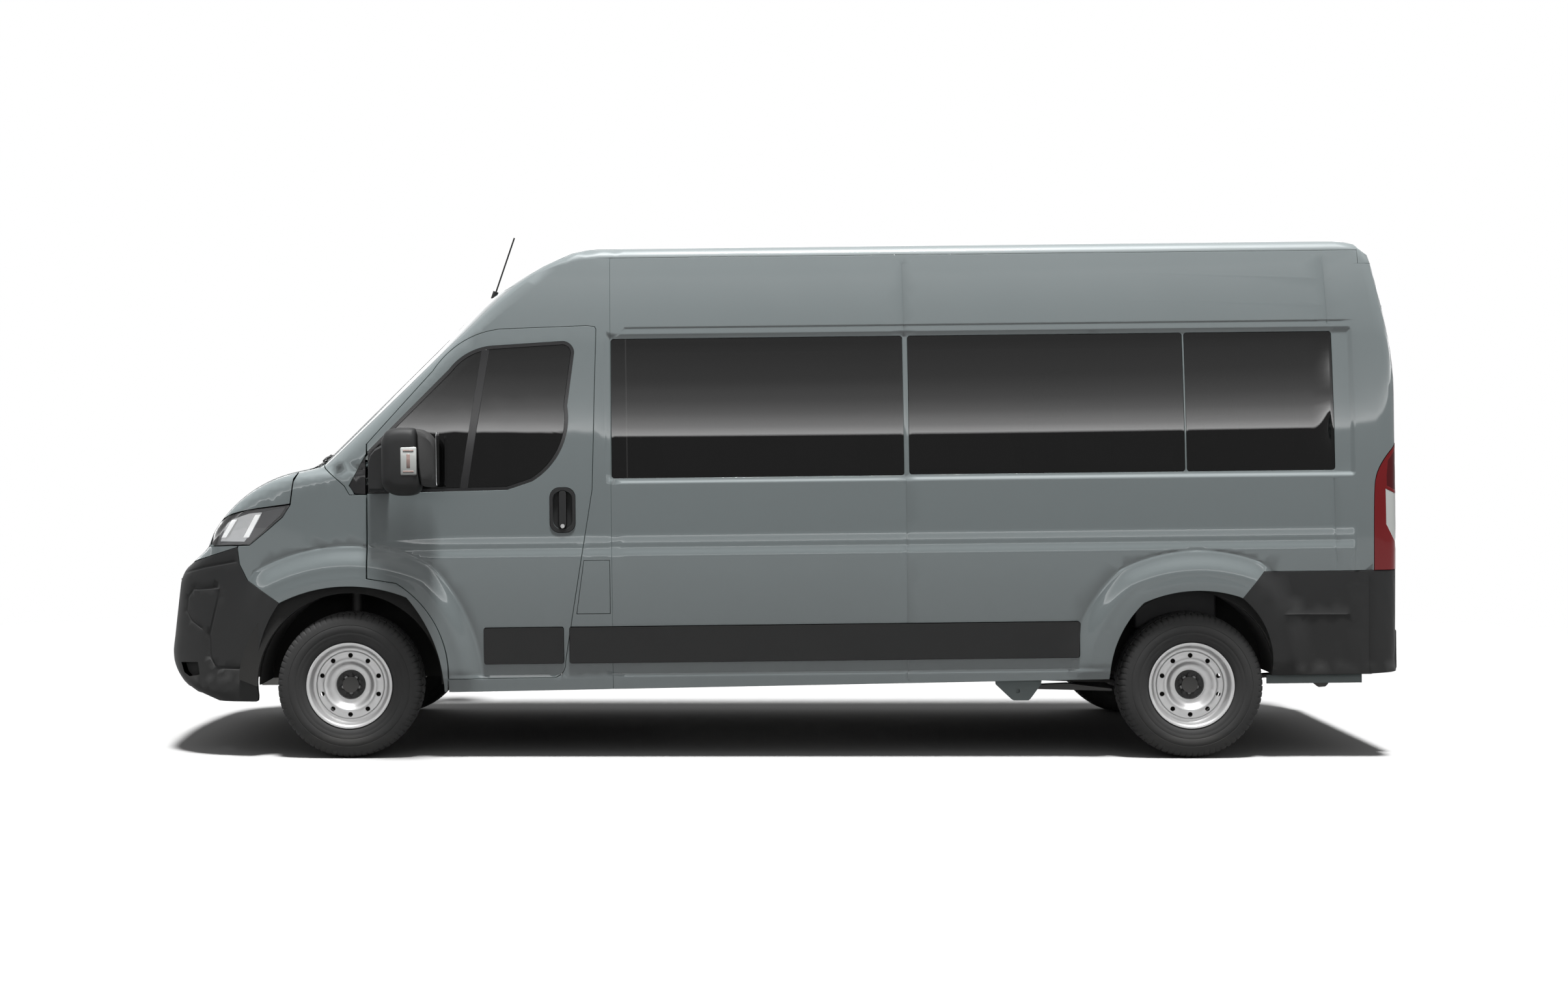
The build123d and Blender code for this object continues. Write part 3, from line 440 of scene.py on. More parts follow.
def panel(loops, way, spacing=45, rows=(), thick=26.0, lift=0.0, inner=True):
    """A pressed panel between closed loops on the skin: the first is its edge, the others its holes.
    It has a rounded hem, and an inner skin unless it is open at the back. It is given back as
    (verts, faces, tags, normals), where tag 0 is the face, 1 the hem and 2 the inner skin."""
    way = Vector(way).normalized()
    across = way.orthogonal().normalized()
    up = way.cross(across)
    basis = np.array([across, up])
    flat_loops = [loop @ basis.T for loop in loops]
    u0, v0 = flat_loops[0].min(0)
    u1, v1 = flat_loops[0].max(0)
    gu, gv = np.meshgrid(np.arange(u0 + spacing / 2, u1, spacing), np.arange(v0 + spacing / 2, v1, spacing))
    gu = gu + (np.arange(gu.shape[0]) % 2)[:, None] * spacing / 2
    grid = np.stack([gu.ravel(), gv.ravel()], 1)
    lines = [np.array(row) @ basis.T for row in rows]

    def allowed(points):
        keep = inside_loop(points[:, 0], points[:, 1], flat_loops[0])
        for loop in flat_loops[1:]:
            keep &= ~inside_loop(points[:, 0], points[:, 1], loop)
        for loop in flat_loops:
            closed = [tuple(p) for p in loop] + [tuple(loop[0])]
            keep &= off_line(points[:, 0], points[:, 1], closed) > EDGE_GAP
        return keep

    grid = grid[allowed(grid)]
    points2, edges = [], []
    for loop in flat_loops:
        base = len(points2)
        points2 += [tuple(p) for p in loop]
        edges += [(base + i, base + (i + 1) % len(loop)) for i in range(len(loop))]
    rim_count = len(points2)
    if lines:
        kept = allowed(np.concatenate(lines))
        near = KDTree(sum(len(line) for line in lines))
        at = 0
        for line in lines:
            before = False
            for point in line:
                near.insert((*point, 0), at)
                if kept[at]:
                    points2.append(tuple(point))
                    if before:
                        edges.append((len(points2) - 2, len(points2) - 1))
                before = kept[at]
                at += 1
        near.balance()
        grid = np.array([p for p in grid if near.find((*p, 0))[2] > spacing * CLEAR_SHARE])
    points2 += [tuple(p) for p in grid]
    verts2, _, tris, origin, _, _ = delaunay_2d_cdt([Vector(p) for p in points2], edges, [], 0, 0.01)
    flat = np.array([tuple(v) for v in verts2])
    tris = np.array([t[:3] for t in tris if len(t) == 3])
    middle = flat[tris].mean(1)
    good = inside_loop(middle[:, 0], middle[:, 1], flat_loops[0])
    for loop in flat_loops[1:]:
        good &= ~inside_loop(middle[:, 0], middle[:, 1], loop)
    tris = tris[good]
    world = np.zeros((len(flat), 3))
    known = np.concatenate(loops)
    is_rim = np.array([o[0] < rim_count if o else False for o in origin])
    rim_index = np.array([o[0] if o and o[0] < rim_count else -1 for o in origin])
    world[is_rim] = known[rim_index[is_rim]]
    inner_2d = flat[~is_rim]
    seeds = inner_2d[:, :1] * np.array(across) + inner_2d[:, 1:] * np.array(up)
    seeds = seeds + np.array(way) * (np.array([known.mean(0)]) @ np.array(way))[:, None]
    world[~is_rim] = settle(seeds, way)
    normals = leaning_out(world)
    a, b, c = (world[tris[:, i]] for i in range(3))
    outward = np.einsum("ij,ij->i", np.cross(b - a, c - a), normals[tris].mean(1)) < 0
    tris[outward] = tris[outward][:, ::-1]
    world = world + normals * lift
    verts = [world]
    faces = [tuple(t) for t in tris]
    tags = [0] * len(faces)
    shades = [normals]
    count = len(world)
    lookup = {int(r): i for i, r in enumerate(rim_index) if r >= 0}
    base = 0
    ring_sets = []
    for loop in loops:
        ids = [lookup[base + i] for i in range(len(loop)) if base + i in lookup]
        base += len(loop)
        here_is = world[ids]
        ahead = np.roll(here_is, -1, 0) - np.roll(here_is, 1, 0)
        out = np.cross(ahead, normals[ids])
        out /= np.maximum(np.linalg.norm(out, axis=1), 1e-9)[:, None]
        spokes = here_is - here_is.mean(0)
        swept = np.cross(spokes, np.roll(here_is, -1, 0) - here_is.mean(0)).sum(0)
        out = out * np.sign(np.dot(swept, normals[ids].mean(0))) * (1 if loop is loops[0] else -1)
        middle = np.abs(here_is[:, 1]) < ON_MIDDLE
        out[middle, 1] = 0
        out[middle & np.roll(middle, 1) & np.roll(middle, -1)] = 0
        ring_sets.append((ids, here_is, out, normals[ids]))
    for ids, here_is, out, norm in ring_sets:
        rings = [ids]
        for push, drop, mix in (*HEM, (HEM[-1][0], thick, 1.0)):
            ring = here_is + out * push - norm * drop
            verts.append(ring)
            shades.append(norm * (1 - mix) + out * mix)
            rings.append(list(range(count, count + len(ids))))
            count += len(ids)
        for first, second in zip(rings, rings[1:]):
            for i in range(len(ids)):
                j = (i + 1) % len(ids)
                if abs(here_is[i][1]) < ON_MIDDLE and abs(here_is[j][1]) < ON_MIDDLE:
                    continue
                faces.append((first[i], first[j], second[j], second[i]))
                tags.append(1)
    if inner:
        verts.append(world - normals * thick)
        shades.append(-normals)
        faces += [(count + t[2], count + t[1], count + t[0]) for t in tris]
        tags += [2] * len(tris)
    verts = np.concatenate(verts)
    shades = np.concatenate(shades)
    return verts, faces, tags, shades


WELD_REACH, WELD_GAP = 0.6, 0.5                     # for two mirrored halves joined on the middle plane
SHARP_ANGLE = math.radians(32)


def make(name, parts, materials, body, node=None, place=LEANING, mirror=False, weld=False):
    """Joins parts, each (verts, faces, tags, normals), into one object that rides on a body."""
    all_verts, all_faces, all_tags, all_shades = [], [], [], []
    count = 0
    sides = (1, -1) if weld else ((-1,) if mirror else (1,))
    for verts, faces, tags, shades in parts:
        for turn in sides:
            flip = np.array([1, turn, 1])
            all_verts.append(np.array(verts) * flip)
            all_shades.append((np.array(shades) if shades is not None else np.zeros((len(verts), 3))) * flip)
            for face, tag in zip(faces, tags):
                face = tuple(i + count for i in face)
                all_faces.append(face if turn > 0 else face[::-1])
                all_tags.append(tag)
            count += len(verts)
    verts = np.concatenate(all_verts)
    shades = np.concatenate(all_shades)
    mesh = bpy.data.meshes.new(name)
    mesh.from_pydata([tuple(v) for v in verts], [], all_faces)
    for material in materials:
        mesh.materials.append(material)
    mesh.polygons.foreach_set("material_index", [min(t, len(materials) - 1) for t in all_tags])
    mesh.polygons.foreach_set("use_smooth", [True] * len(mesh.polygons))
    attribute = mesh.attributes.new("shade", "FLOAT_VECTOR", "POINT")
    attribute.data.foreach_set("vector", shades.astype(np.float32).ravel())
    if weld:
        work = bmesh.new()
        work.from_mesh(mesh)
        middle = [v for v in work.verts if abs(v.co.y) < WELD_REACH]
        for v in middle:
            v.co.y = 0
        bmesh.ops.remove_doubles(work, verts=middle, dist=WELD_GAP)
        work.to_mesh(mesh)
        work.free()
    mesh.validate()
    attribute = mesh.attributes["shade"]
    kept = np.zeros(len(mesh.vertices) * 3, np.float32)
    attribute.data.foreach_get("vector", kept)
    kept = kept.reshape(-1, 3)
    mesh.attributes.remove(attribute)
    mesh.transform(place)
    turned = np.array(place.to_3x3().normalized())
    kept = kept @ turned.T
    if np.abs(kept).sum() > 0:
        mesh.normals_split_custom_set_from_vertices([tuple(v) for v in kept])
    else:
        mesh.set_sharp_from_angle(angle=SHARP_ANGLE)
    obj = bpy.data.objects.new(name, mesh)
    scene.collection.objects.link(obj)
    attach(obj, body)
    if node:
        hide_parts(*([node] if isinstance(node, str) else node))
    return obj


JOIN_GAP = 2


def loop_of(*traces):
    """A closed loop from traces that follow each other, without the points that double up at their ends."""
    joined = [traces[0]]
    for trace in traces[1:]:
        joined.append(trace[1:] if np.linalg.norm(trace[0] - joined[-1][-1]) < JOIN_GAP else trace)
    points = np.concatenate(joined)
    if np.linalg.norm(points[0] - points[-1]) < JOIN_GAP:
        points = points[:-1]
    return points


def beside(points, amount):
    """An open side-view polyline moved to one side."""
    p = np.array(points, float)
    run = np.gradient(p, axis=0)
    run /= np.linalg.norm(run, axis=1)[:, None]
    return [tuple(q) for q in p + np.stack([run[:, 1], -run[:, 0]], 1) * amount]


def grown(points, amount):
    """A closed side-view outline moved outward, or inward where the amount is negative."""
    p = np.array(points, float)
    if np.allclose(p[0], p[-1]):
        p = p[:-1]
    before, after = np.roll(p, 1, 0), np.roll(p, -1, 0)
    a = p - before
    b = after - p
    a /= np.linalg.norm(a, axis=1)[:, None]
    b /= np.linalg.norm(b, axis=1)[:, None]
    area = np.sum(p[:, 0] * after[:, 1] - after[:, 0] * p[:, 1])
    turn = 1 if area > 0 else -1
    na = np.stack([a[:, 1], -a[:, 0]], 1) * turn
    nb = np.stack([b[:, 1], -b[:, 0]], 1) * turn
    n = na + nb
    n /= np.maximum(np.linalg.norm(n, axis=1), 1e-6)[:, None]
    stretch = 1 / np.maximum(np.einsum("ij,ij->i", n, na), 0.4)
    moved = p + n * (amount * stretch)[:, None]
    return [tuple(q) for q in moved] + [tuple(moved[0])]


def settled(points, way, spacing=24):
    """A 3D polyline divided finely and carried onto the left side of the skin along one direction."""
    return settle(np.array(spaced(points, spacing)), way)


def eased(points, times=2):
    """An open polyline with its inner corners cut round."""
    for _ in range(times):
        cut = [points[0]]
        for (ax, az), (bx, bz) in zip(points, points[1:]):
            cut += [(ax * 0.75 + bx * 0.25, az * 0.75 + bz * 0.25),
                    (ax * 0.25 + bx * 0.75, az * 0.25 + bz * 0.75)]
        cut.append(points[-1])
        points = cut
    return points


def rounded_box(x0, x1, z0, z1, radius, count=6):
    """A closed rounded rectangle."""
    points = []
    for cx, cz, start in ((x1 - radius, z1 - radius, 0), (x0 + radius, z1 - radius, 90),
                          (x0 + radius, z0 + radius, 180), (x1 - radius, z0 + radius, 270)):
        for i in range(count + 1):
            a = math.radians(start + 90 * i / count)
            points.append((cx + radius * math.cos(a), cz + radius * math.sin(a)))
    return points + [points[0]]


# A node group for the fine unevenness that every large surface shares: dust low down, and a slight
# drift of tone. It puts out a mask and a tone factor.
DUST_FOOT, DUST_TONE = 0.1, (0.23, 0.22, 0.2)       # metres up to which the dust is full, and its colour
ROUGH_DRIFT, SHADE_SHARE, GRAIN_DEPTH = 0.12, 0.9, 0.0006
film = bpy.data.node_groups.new("dust_film", "ShaderNodeTree")
film.interface.new_socket("Top", in_out="INPUT", socket_type="NodeSocketFloat")
film.interface.new_socket("Size", in_out="INPUT", socket_type="NodeSocketFloat")
film.interface.new_socket("Dust", in_out="OUTPUT", socket_type="NodeSocketFloat")
film.interface.new_socket("Drift", in_out="OUTPUT", socket_type="NodeSocketFloat")
film_nodes = film.nodes
film_in = film_nodes.new("NodeGroupInput")
film_out = film_nodes.new("NodeGroupOutput")
film_at = film_nodes.new("ShaderNodeTexCoord")
film_split = film_nodes.new("ShaderNodeSeparateXYZ")
film_low = film_nodes.new("ShaderNodeMapRange")
film_low.inputs["From Min"].default_value = DUST_FOOT
film_low.inputs["To Min"].default_value = 1.0
film_low.inputs["To Max"].default_value = 0.0
film_noise = film_nodes.new("ShaderNodeTexNoise")
film_noise.inputs["Detail"].default_value = 5
film_times = film_nodes.new("ShaderNodeMath")
film_times.operation = "MULTIPLY"
film.links.new(film_at.outputs["Object"], film_split.inputs[0])
film.links.new(film_split.outputs["Z"], film_low.inputs["Value"])
film.links.new(film_in.outputs["Top"], film_low.inputs["From Max"])
film.links.new(film_at.outputs["Object"], film_noise.inputs["Vector"])
film.links.new(film_in.outputs["Size"], film_noise.inputs["Scale"])
film.links.new(film_low.outputs["Result"], film_times.inputs[0])
film.links.new(film_noise.outputs["Fac"], film_times.inputs[1])
film.links.new(film_times.outputs[0], film_out.inputs["Dust"])
film.links.new(film_noise.outputs["Fac"], film_out.inputs["Drift"])


def finish(name, color, roughness, metallic=0.0, coat=0.0, coat_roughness=0.05, alt=None, alt_share=0.3,
           grain=0.0, grain_size=900.0, dust=0.12, dust_top=0.9, specular=0.5, size=2.5):
    """A painted, moulded or bare-metal finish: a tone that drifts a little, dust low down, and a grain."""
    material = bpy.data.materials.new(name)
    material.use_nodes = True
    tree = material.node_tree
    shader = tree.nodes["Principled BSDF"]
    shader.inputs["Metallic"].default_value = metallic
    shader.inputs["Coat Weight"].default_value = coat
    shader.inputs["Coat Roughness"].default_value = coat_roughness
    shader.inputs["Specular IOR Level"].default_value = specular
    coatings = tree.nodes.new("ShaderNodeGroup")
    coatings.node_tree = film
    coatings.inputs["Top"].default_value = dust_top
    coatings.inputs["Size"].default_value = size
    tone = tree.nodes.new("ShaderNodeMix")
    tone.data_type = "RGBA"
    alt = alt or tuple(c * SHADE_SHARE for c in color)
    tone.inputs["A"].default_value = (*color, 1)
    tone.inputs["B"].default_value = (*alt, 1)
    drift = tree.nodes.new("ShaderNodeMath")
    drift.operation = "MULTIPLY"
    drift.inputs[1].default_value = alt_share
    dusty = tree.nodes.new("ShaderNodeMix")
    dusty.data_type = "RGBA"
    dusty.inputs["B"].default_value = (*DUST_TONE, 1)
    amount = tree.nodes.new("ShaderNodeMath")
    amount.operation = "MULTIPLY"
    amount.inputs[1].default_value = dust
    rough = tree.nodes.new("ShaderNodeMapRange")
    rough.inputs["To Min"].default_value = roughness
    rough.inputs["To Max"].default_value = min(1.0, roughness + ROUGH_DRIFT)
    tree.links.new(coatings.outputs["Drift"], drift.inputs[0])
    tree.links.new(drift.outputs[0], tone.inputs["Factor"])
    tree.links.new(coatings.outputs["Dust"], amount.inputs[0])
    tree.links.new(amount.outputs[0], dusty.inputs["Factor"])
    tree.links.new(tone.outputs["Result"], dusty.inputs["A"])
    tree.links.new(dusty.outputs["Result"], shader.inputs["Base Color"])
    tree.links.new(coatings.outputs["Drift"], rough.inputs["Value"])
    tree.links.new(rough.outputs["Result"], shader.inputs["Roughness"])
    if grain:
        at = tree.nodes.new("ShaderNodeTexCoord")
        bumps = tree.nodes.new("ShaderNodeTexNoise")
        bumps.inputs["Scale"].default_value = grain_size
        bumps.inputs["Detail"].default_value = 3
        relief = tree.nodes.new("ShaderNodeBump")
        relief.inputs["Strength"].default_value = grain
        relief.inputs["Distance"].default_value = GRAIN_DEPTH
        tree.links.new(at.outputs["Object"], bumps.inputs["Vector"])
        tree.links.new(bumps.outputs["Fac"], relief.inputs["Height"])
        tree.links.new(relief.outputs["Normal"], shader.inputs["Normal"])
    return material


body_paint = finish("metallic_body_paint", (0.152, 0.179, 0.183), 0.42, metallic=0.06, coat=0.7,
                    coat_roughness=0.04, alt=(0.141, 0.167, 0.171), grain=0.05, grain_size=2600.0, dust=0.05)
# A darker, less glossy copy of the body paint: painted shade on the hems that turn into the shut lines, and
# on the body-coloured hangers and cross bar under the van.
body_paint_painted_shade = finish("body_paint_painted_shade", (0.10, 0.125, 0.125), 0.5, metallic=0.2, coat=0.2, dust=0.1)
lining = finish("cabin_lining", (0.16, 0.16, 0.165), 0.8, grain=0.4, grain_size=500.0, dust=0.0)
black_plastic = finish("moulded_black_plastic", (0.024, 0.0245, 0.025), 0.5,
                       alt=(0.029, 0.029, 0.029), grain=0.35, grain_size=700.0, dust=0.10, specular=0.2)
PAINTED = [body_paint, body_paint_painted_shade, lining]
MOULDED = [black_plastic, black_plastic, black_plastic]

# ---------------------------------------------------------------- Body sides
# Pressed steel sides from behind the front doors to the rear corners, spot-welded along joints that
# show as fine lines. The left side is whole; the right side is cut for its sliding door.
JOINT, ROOF_JOINT_Z = 1.5, 2391                     # half a welded joint, and the height of the roof's
DOOR_GAP, PANEL_THICK, PANEL_SPACING = 6, 40, 64
SIDE_FACING = (-0.45, 0.75, -0.45)


def sill_z(x):
    """Underside of the sill, a little lower at its front end."""
    return 313 + (x - 459) * 28 / 3179


def level(x0, x1, heights, spacing=60):
    """Level rows from x0 to x1, one at each height."""
    return [on_side([(x0, z), (x1, z)], spacing) for z in heights]


def belt_rows(x0, x1, spacing=60):
    """Rows along the two steps of the belt pressing."""
    return level(x0, x1, (1066, 1054, 1040, 1024, 1010, 1003, 990, 976, 962, 950, 938), spacing)


def flare_rows(arch, keep):
    """Rows along the flared lip of a wheel arch, kept where keep(x, z) is true."""
    rows = []
    closed = [*arch, (arch[-1][0], 150), (arch[0][0], 150), arch[0]]
    for reach in (8, 22, 50, 78, 92, 108, 124, 142, 160, 176, 184, 192, 200):
        line = [p for p in grown(closed, reach)[:len(arch)] if keep(*p)]
        if len(line) > 1:
            rows.append(on_side(line, 40))
    return rows


frame_rows = [on_side(grown(rounded_box(*FRAME_X, *FRAME_Z, 22), g), 60)
              for g in (4, 0, -5, -10, -16, -22, -26)]
seam_rows = []
for shift in (-3.8, -1.4, 1.4, 3.8):
    seam_rows.append(on_side([(SEAM_MID_X + shift, 345), (SEAM_MID_X + shift, 2385)], 40))
    seam_rows.append(on_side([(4728 + shift, 860), (4706 + shift, 2385)], 40))
belt_end_rows = [on_side([(x, 930), (x, 1070)], 9) for x in (4806, 4812, 4818, 4824, 4830)]
side_rows = [
    *belt_rows(1275, BELT_END_X + 4), *frame_rows, *seam_rows, *belt_end_rows,
    *level(1275, 4836, (2056, 2052, 2049, 2046, 2040)),
    *level(1275, 3600, (404, 397, 391, 385, 379, 373, 366)),
    *flare_rows(rear_arch, lambda x, z: z > sill_z(x) + 8),
]
corner_way = (-0.6, 0.8, 0)
arch_back = [p for p in rear_arch if p[0] < 4268 and p[1] > 345][::-1]
for y in (-856, -872, -890, -910, -935, -960, -985):
    side_rows.append(settled([(5100, y, 1500), (5100, y, 2300)], BACK_WAY, 70))
behind_doors = [
    on_side([(SEAM_FRONT_X + JOINT, ROOF_JOINT_Z - JOINT), (4878, ROOF_JOINT_Z - JOINT)], 40),
    on_side([(4878, ROOF_JOINT_Z - JOINT), (4878, 2326)]),
    settled([(4878, -930, 2324), (4990, -844, 2324)], corner_way, 12),
    settled([(5060, -844, 2324), (5060, -844, 1464)], BACK_WAY),
    settled([(5060, -844, 1464), (5026, -985, 1452)], corner_way, 10),
    on_side(eased([(5026, 1452), (4967, 1391), (4921, 1311), (4911, 1212), (4907, 850)]), 16),
    on_side([(4907, 850), (4378, 850)]),
    on_side([(4376, 847), (4272, 724)]),
    on_side([(4264, 728), *arch_back, (3638, sill_z(3638))], 16),
]


def pane_hole(x0, x1, z0, z1):
    """The opening that a bonded pane closes."""
    return on_side(rounded_box(x0 - JOINT, x1 + JOINT, z0 - JOINT, z1 + JOINT, 16), 40)[:-1]


REAR_PANES = [(2750, 4014, 1329, 1996), (4022, 4732, 1329, 1996)]
LEFT_PANES = [(1268, 2670, 1326, 1996), (2693, 4014, 1329, 1996), (4022, 4732, 1329, 1996)]
SLIDING_PANE = (1345, 2595, 1326, 1996)
SLIDING = (1275, 2665, 362, 2330)
side_rows += [settled([(x, y, 1470), (x, y, 2310)], corner_way, 40)
              for x, y in ((4925, -1030), (4950, -1024), (4975, -1013), (4996, -1000))]
left_loop = loop_of(
    on_side([(SEAM_FRONT_X + JOINT, sill_z(SEAM_FRONT_X)), (SEAM_FRONT_X + JOINT, ROOF_JOINT_Z - JOINT)]),
    *behind_doors,
    on_side([(3638, sill_z(3638)), (SEAM_FRONT_X + JOINT, sill_z(SEAM_FRONT_X))], 40))
left_side = panel([left_loop, *[pane_hole(*p) for p in LEFT_PANES]], SIDE_FACING, spacing=PANEL_SPACING,
                  rows=side_rows, thick=PANEL_THICK)
make("side_panel_left", [left_side], PAINTED, "body", "side_panel_left")
x0, x1, z0, z1 = SLIDING
right_loop = loop_of(
    on_side([(SEAM_FRONT_X + JOINT, z1 + DOOR_GAP), (SEAM_FRONT_X + JOINT, ROOF_JOINT_Z - JOINT)]),
    *behind_doors,
    on_side([(3638, sill_z(3638)), (SEAM_FRONT_X + JOINT, sill_z(SEAM_FRONT_X))], 40),
    on_side([(SEAM_FRONT_X + JOINT, sill_z(SEAM_FRONT_X)), (SEAM_FRONT_X + JOINT, z0 - DOOR_GAP),
             (x1 + DOOR_GAP, z0 - DOOR_GAP), (x1 + DOOR_GAP, z1 + DOOR_GAP),
             (SEAM_FRONT_X + JOINT, z1 + DOOR_GAP)], 40))
right_side = panel([right_loop, *[pane_hole(*p) for p in REAR_PANES]], SIDE_FACING, spacing=PANEL_SPACING,
                   rows=side_rows, thick=PANEL_THICK)
make("side_panel_right", [right_side], PAINTED, "body", "side_panel_right", mirror=True)
sliding_loop = on_side(rounded_box(*SLIDING, 14), 40)[:-1]
sliding = panel([sliding_loop, pane_hole(*SLIDING_PANE)], SIDE_FACING, spacing=PANEL_SPACING, rows=side_rows,
                thick=PANEL_THICK)
make("sliding_door", [sliding], PAINTED, "body", "sliding_door", mirror=True)

# ---------------------------------------------------------------- Cab sides, roof and nose panels
# Pressed steel round the door openings with the screen pillars and sills, the roof with its headers,
# and the strip of nose below the bonnet, all painted.
DOOR = outline(
    (100, 864), (100, 1505), (416, 1851), ((560, 1990), (780, 2049)), (1152, 2059), (1190, 2054),
    (1195, 2044), (1172, 1277), (1054, 564), (1035, 449), ((1020, 400), (977, 378)), (482, 378),
    ((400, 680), (236, 842)), (100, 864))
GLASS = outline(
    (40, 1266), (10, 1305), (98, 1466), (491, 1857), ((590, 1940), (712, 1971)), (1036, 1989),
    ((1078, 1970), (1093, 1930)), (1058, 1676), ((985, 1400), (886, 1315)), (769, 1277), (40, 1266))
HEADLAMP = [(-674, 1024), (-653, 1114), (-587, 1164), (-486, 1191), (-279, 1216), (-316, 1161), (-386, 1101),
            (-478, 1027), (-674, 1024)]
SCREEN_HEAD, SCREEN_FOOT = 2560, 1145               # x + z along the screen's head and foot
SCREEN_TOP_Z, SCREEN_LOW_Z = 2160, 1290


def screen_y(z):
    """The screen's edge as the front shows it."""
    return -800 + (z - SCREEN_LOW_Z) * 84 / (SCREEN_TOP_Z - SCREEN_LOW_Z)


def across_screen(total, y0, y1, spacing=30):
    """A line across the screen where x + z is constant."""
    return settled([(total - 1900, y0, 1900), (total - 1900, y1, 1900)], SCREEN_WAY, spacing)


def screen_corner(total):
    """The corner where the screen's edge meets its head or foot."""
    y = -760.0
    for _ in range(8):
        corner = across_screen(total, y, y - 1)[0]
        y = screen_y(corner[2])
    return corner


head_corner, foot_corner = screen_corner(SCREEN_HEAD), screen_corner(SCREEN_FOOT)
PILLAR_FOOT_Z = 1413                                # the wing's top edge meets the screen here
pillar = on_front([(screen_y(PILLAR_FOOT_Z), PILLAR_FOOT_Z), (head_corner[1], head_corner[2])])
roof_edge = on_side(outline((522, 2042), (640, 2120), ((900, 2310), (1200, ROOF_JOINT_Z))), 30)
door_gap = grown(DOOR, 5)
sill_corner, hinge_corner = (min(range(len(door_gap)), key=lambda i: math.dist(door_gap[i], near))
                             for near in ((482, 373), (95, 1505)))
door_way = door_gap[hinge_corner:sill_corner + 1][::-1]
cab_loop = loop_of(
    pillar, roof_edge,
    on_side([(1200, ROOF_JOINT_Z), (SEAM_FRONT_X - JOINT, ROOF_JOINT_Z),
             (SEAM_FRONT_X - JOINT, sill_z(SEAM_FRONT_X)), (480, sill_z(480)), (480, 366)]),
    on_side(door_way),
    on_side([(92, 1505), (92, 1458), (8, 1306), (36, 1264), (14, 1264), (-9, 1306), (-119, 1403)]))
FLAP = [(1131, 937), (1256, 937), (1256, 681), (1094, 681), (1131, 937)]
flap_gap = on_side(grown(FLAP, 0.5), 24)[:-1]
cab_rows = [
    *belt_rows(1172, 1262, 24), on_side([(1232, 1302), (1232, 2018)], 24),
    on_side([(1226, 1302), (1226, 2018)], 24),
    on_side([(1240, 1302), (1240, 2018)], 24), *level(500, 1258, (373, 366, 359), 40),
]
CAB_FACING = (0.45, 0.75, -0.45)
cab_left = panel([cab_loop, flap_gap], CAB_FACING, spacing=40, rows=cab_rows, thick=34)
cab_right = panel([cab_loop], CAB_FACING, spacing=40, rows=cab_rows, thick=34)
make("cab_side_left", [cab_left], PAINTED, "body", "cab_side_left")
make("cab_side_right", [cab_right], PAINTED, "body", "cab_side_right", mirror=True)

roof_loop = loop_of(
    across_screen(SCREEN_HEAD, 0, head_corner[1]),
    roof_edge, on_side([(1200, ROOF_JOINT_Z + JOINT), (4880, ROOF_JOINT_Z + JOINT), (4880, 2326)], 50),
    settled([(4880, -930, 2326), (4990, -844, 2326)], corner_way, 12),
    settled([(5060, -844, 2326), (5060, 0, 2326)], BACK_WAY, 40),
    settled([(5060, 0, 2326), (5060, 0, 2440)], BACK_WAY, 40),
    settled([(4930, 0, 3200), (900, 0, 3200)], TOP_WAY, 60),
    settled([(800, 0, 3100), (0, 0, 2560)], SCREEN_WAY, 40))
roof_rows = []
for y in (-150, -450):
    for shift in (-26, -14, 14, 26):
        roof_rows.append(settled([(1480, y + shift, 3000), (4640, y + shift, 3000)], TOP_WAY, 70))
for y in (-868, -858, -846, -835, -820, -790):
    roof_rows.append(settled([(1330, y, 3000), (4780, y, 3000)], TOP_WAY, 70))
roof_half = panel([roof_loop], (-0.2, 0.45, -0.87), spacing=70, rows=roof_rows, thick=24)
make("roof", [roof_half], PAINTED, "body", "roof", weld=True)

NOSE_FACING = (0.75, 0.6, -0.28)
# The bonnet's front edge runs just above the nose strip and round the headlamps.
nose_loop = loop_of(
    settled([(-1100, 0, 903), (-1100, -560, 905)], FRONT_WAY, 30),
    on_side([(-780, 943), (-729, 959), (-538, 1017)], 16),
    on_side([(-538, 1020), (-560, 1021), (-676, 1018)], 16),
    settled([(-1100, -800, 1012), (-1100, 0, 1010)], FRONT_WAY, 30))
nose_half = panel([nose_loop], NOSE_FACING, spacing=36, thick=20)
make("nose_strip", [nose_half], PAINTED, "body", "front_panels", weld=True)

# ---------------------------------------------------------------- Bonnet and wings
# A pressed bonnet with two long creases, and bolted wings whose lips flare round the wheels.
bonnet_loop = loop_of(
    settled([(-1100, 0, 1016), (-1100, -800, 1018)], FRONT_WAY, 30),
    on_side(eased([(-681, 1022), (-659, 1117), (-590, 1170), (-487, 1197), (-280, 1223)], 1), 16),
    on_side([(-278, 1226), (-262, 1342)], 16),
    settled([(-262, -840, 1800), (-262, 0, 1800)], TOP_WAY, 30),
    settled([(-300, 0, 1800), (-700, 0, 1500)], (-0.2, 0, -1), 40),
    settled([(-1100, 0, 1130), (-1100, 0, 1030)], FRONT_WAY, 30))
bonnet_rows = [
    settled([(-300, y0, 1900), (-700, y1, 1900)], TOP_WAY, 40)
    for y0, y1 in ((-470, -330), (-480, -340), (-492, -352), (-502, -362))]
bonnet_half = panel([bonnet_loop], (0.3, 0.45, -0.84), spacing=36, rows=bonnet_rows, thick=20)
make("bonnet", [bonnet_half], PAINTED, "bonnet", "bonnet", weld=True)

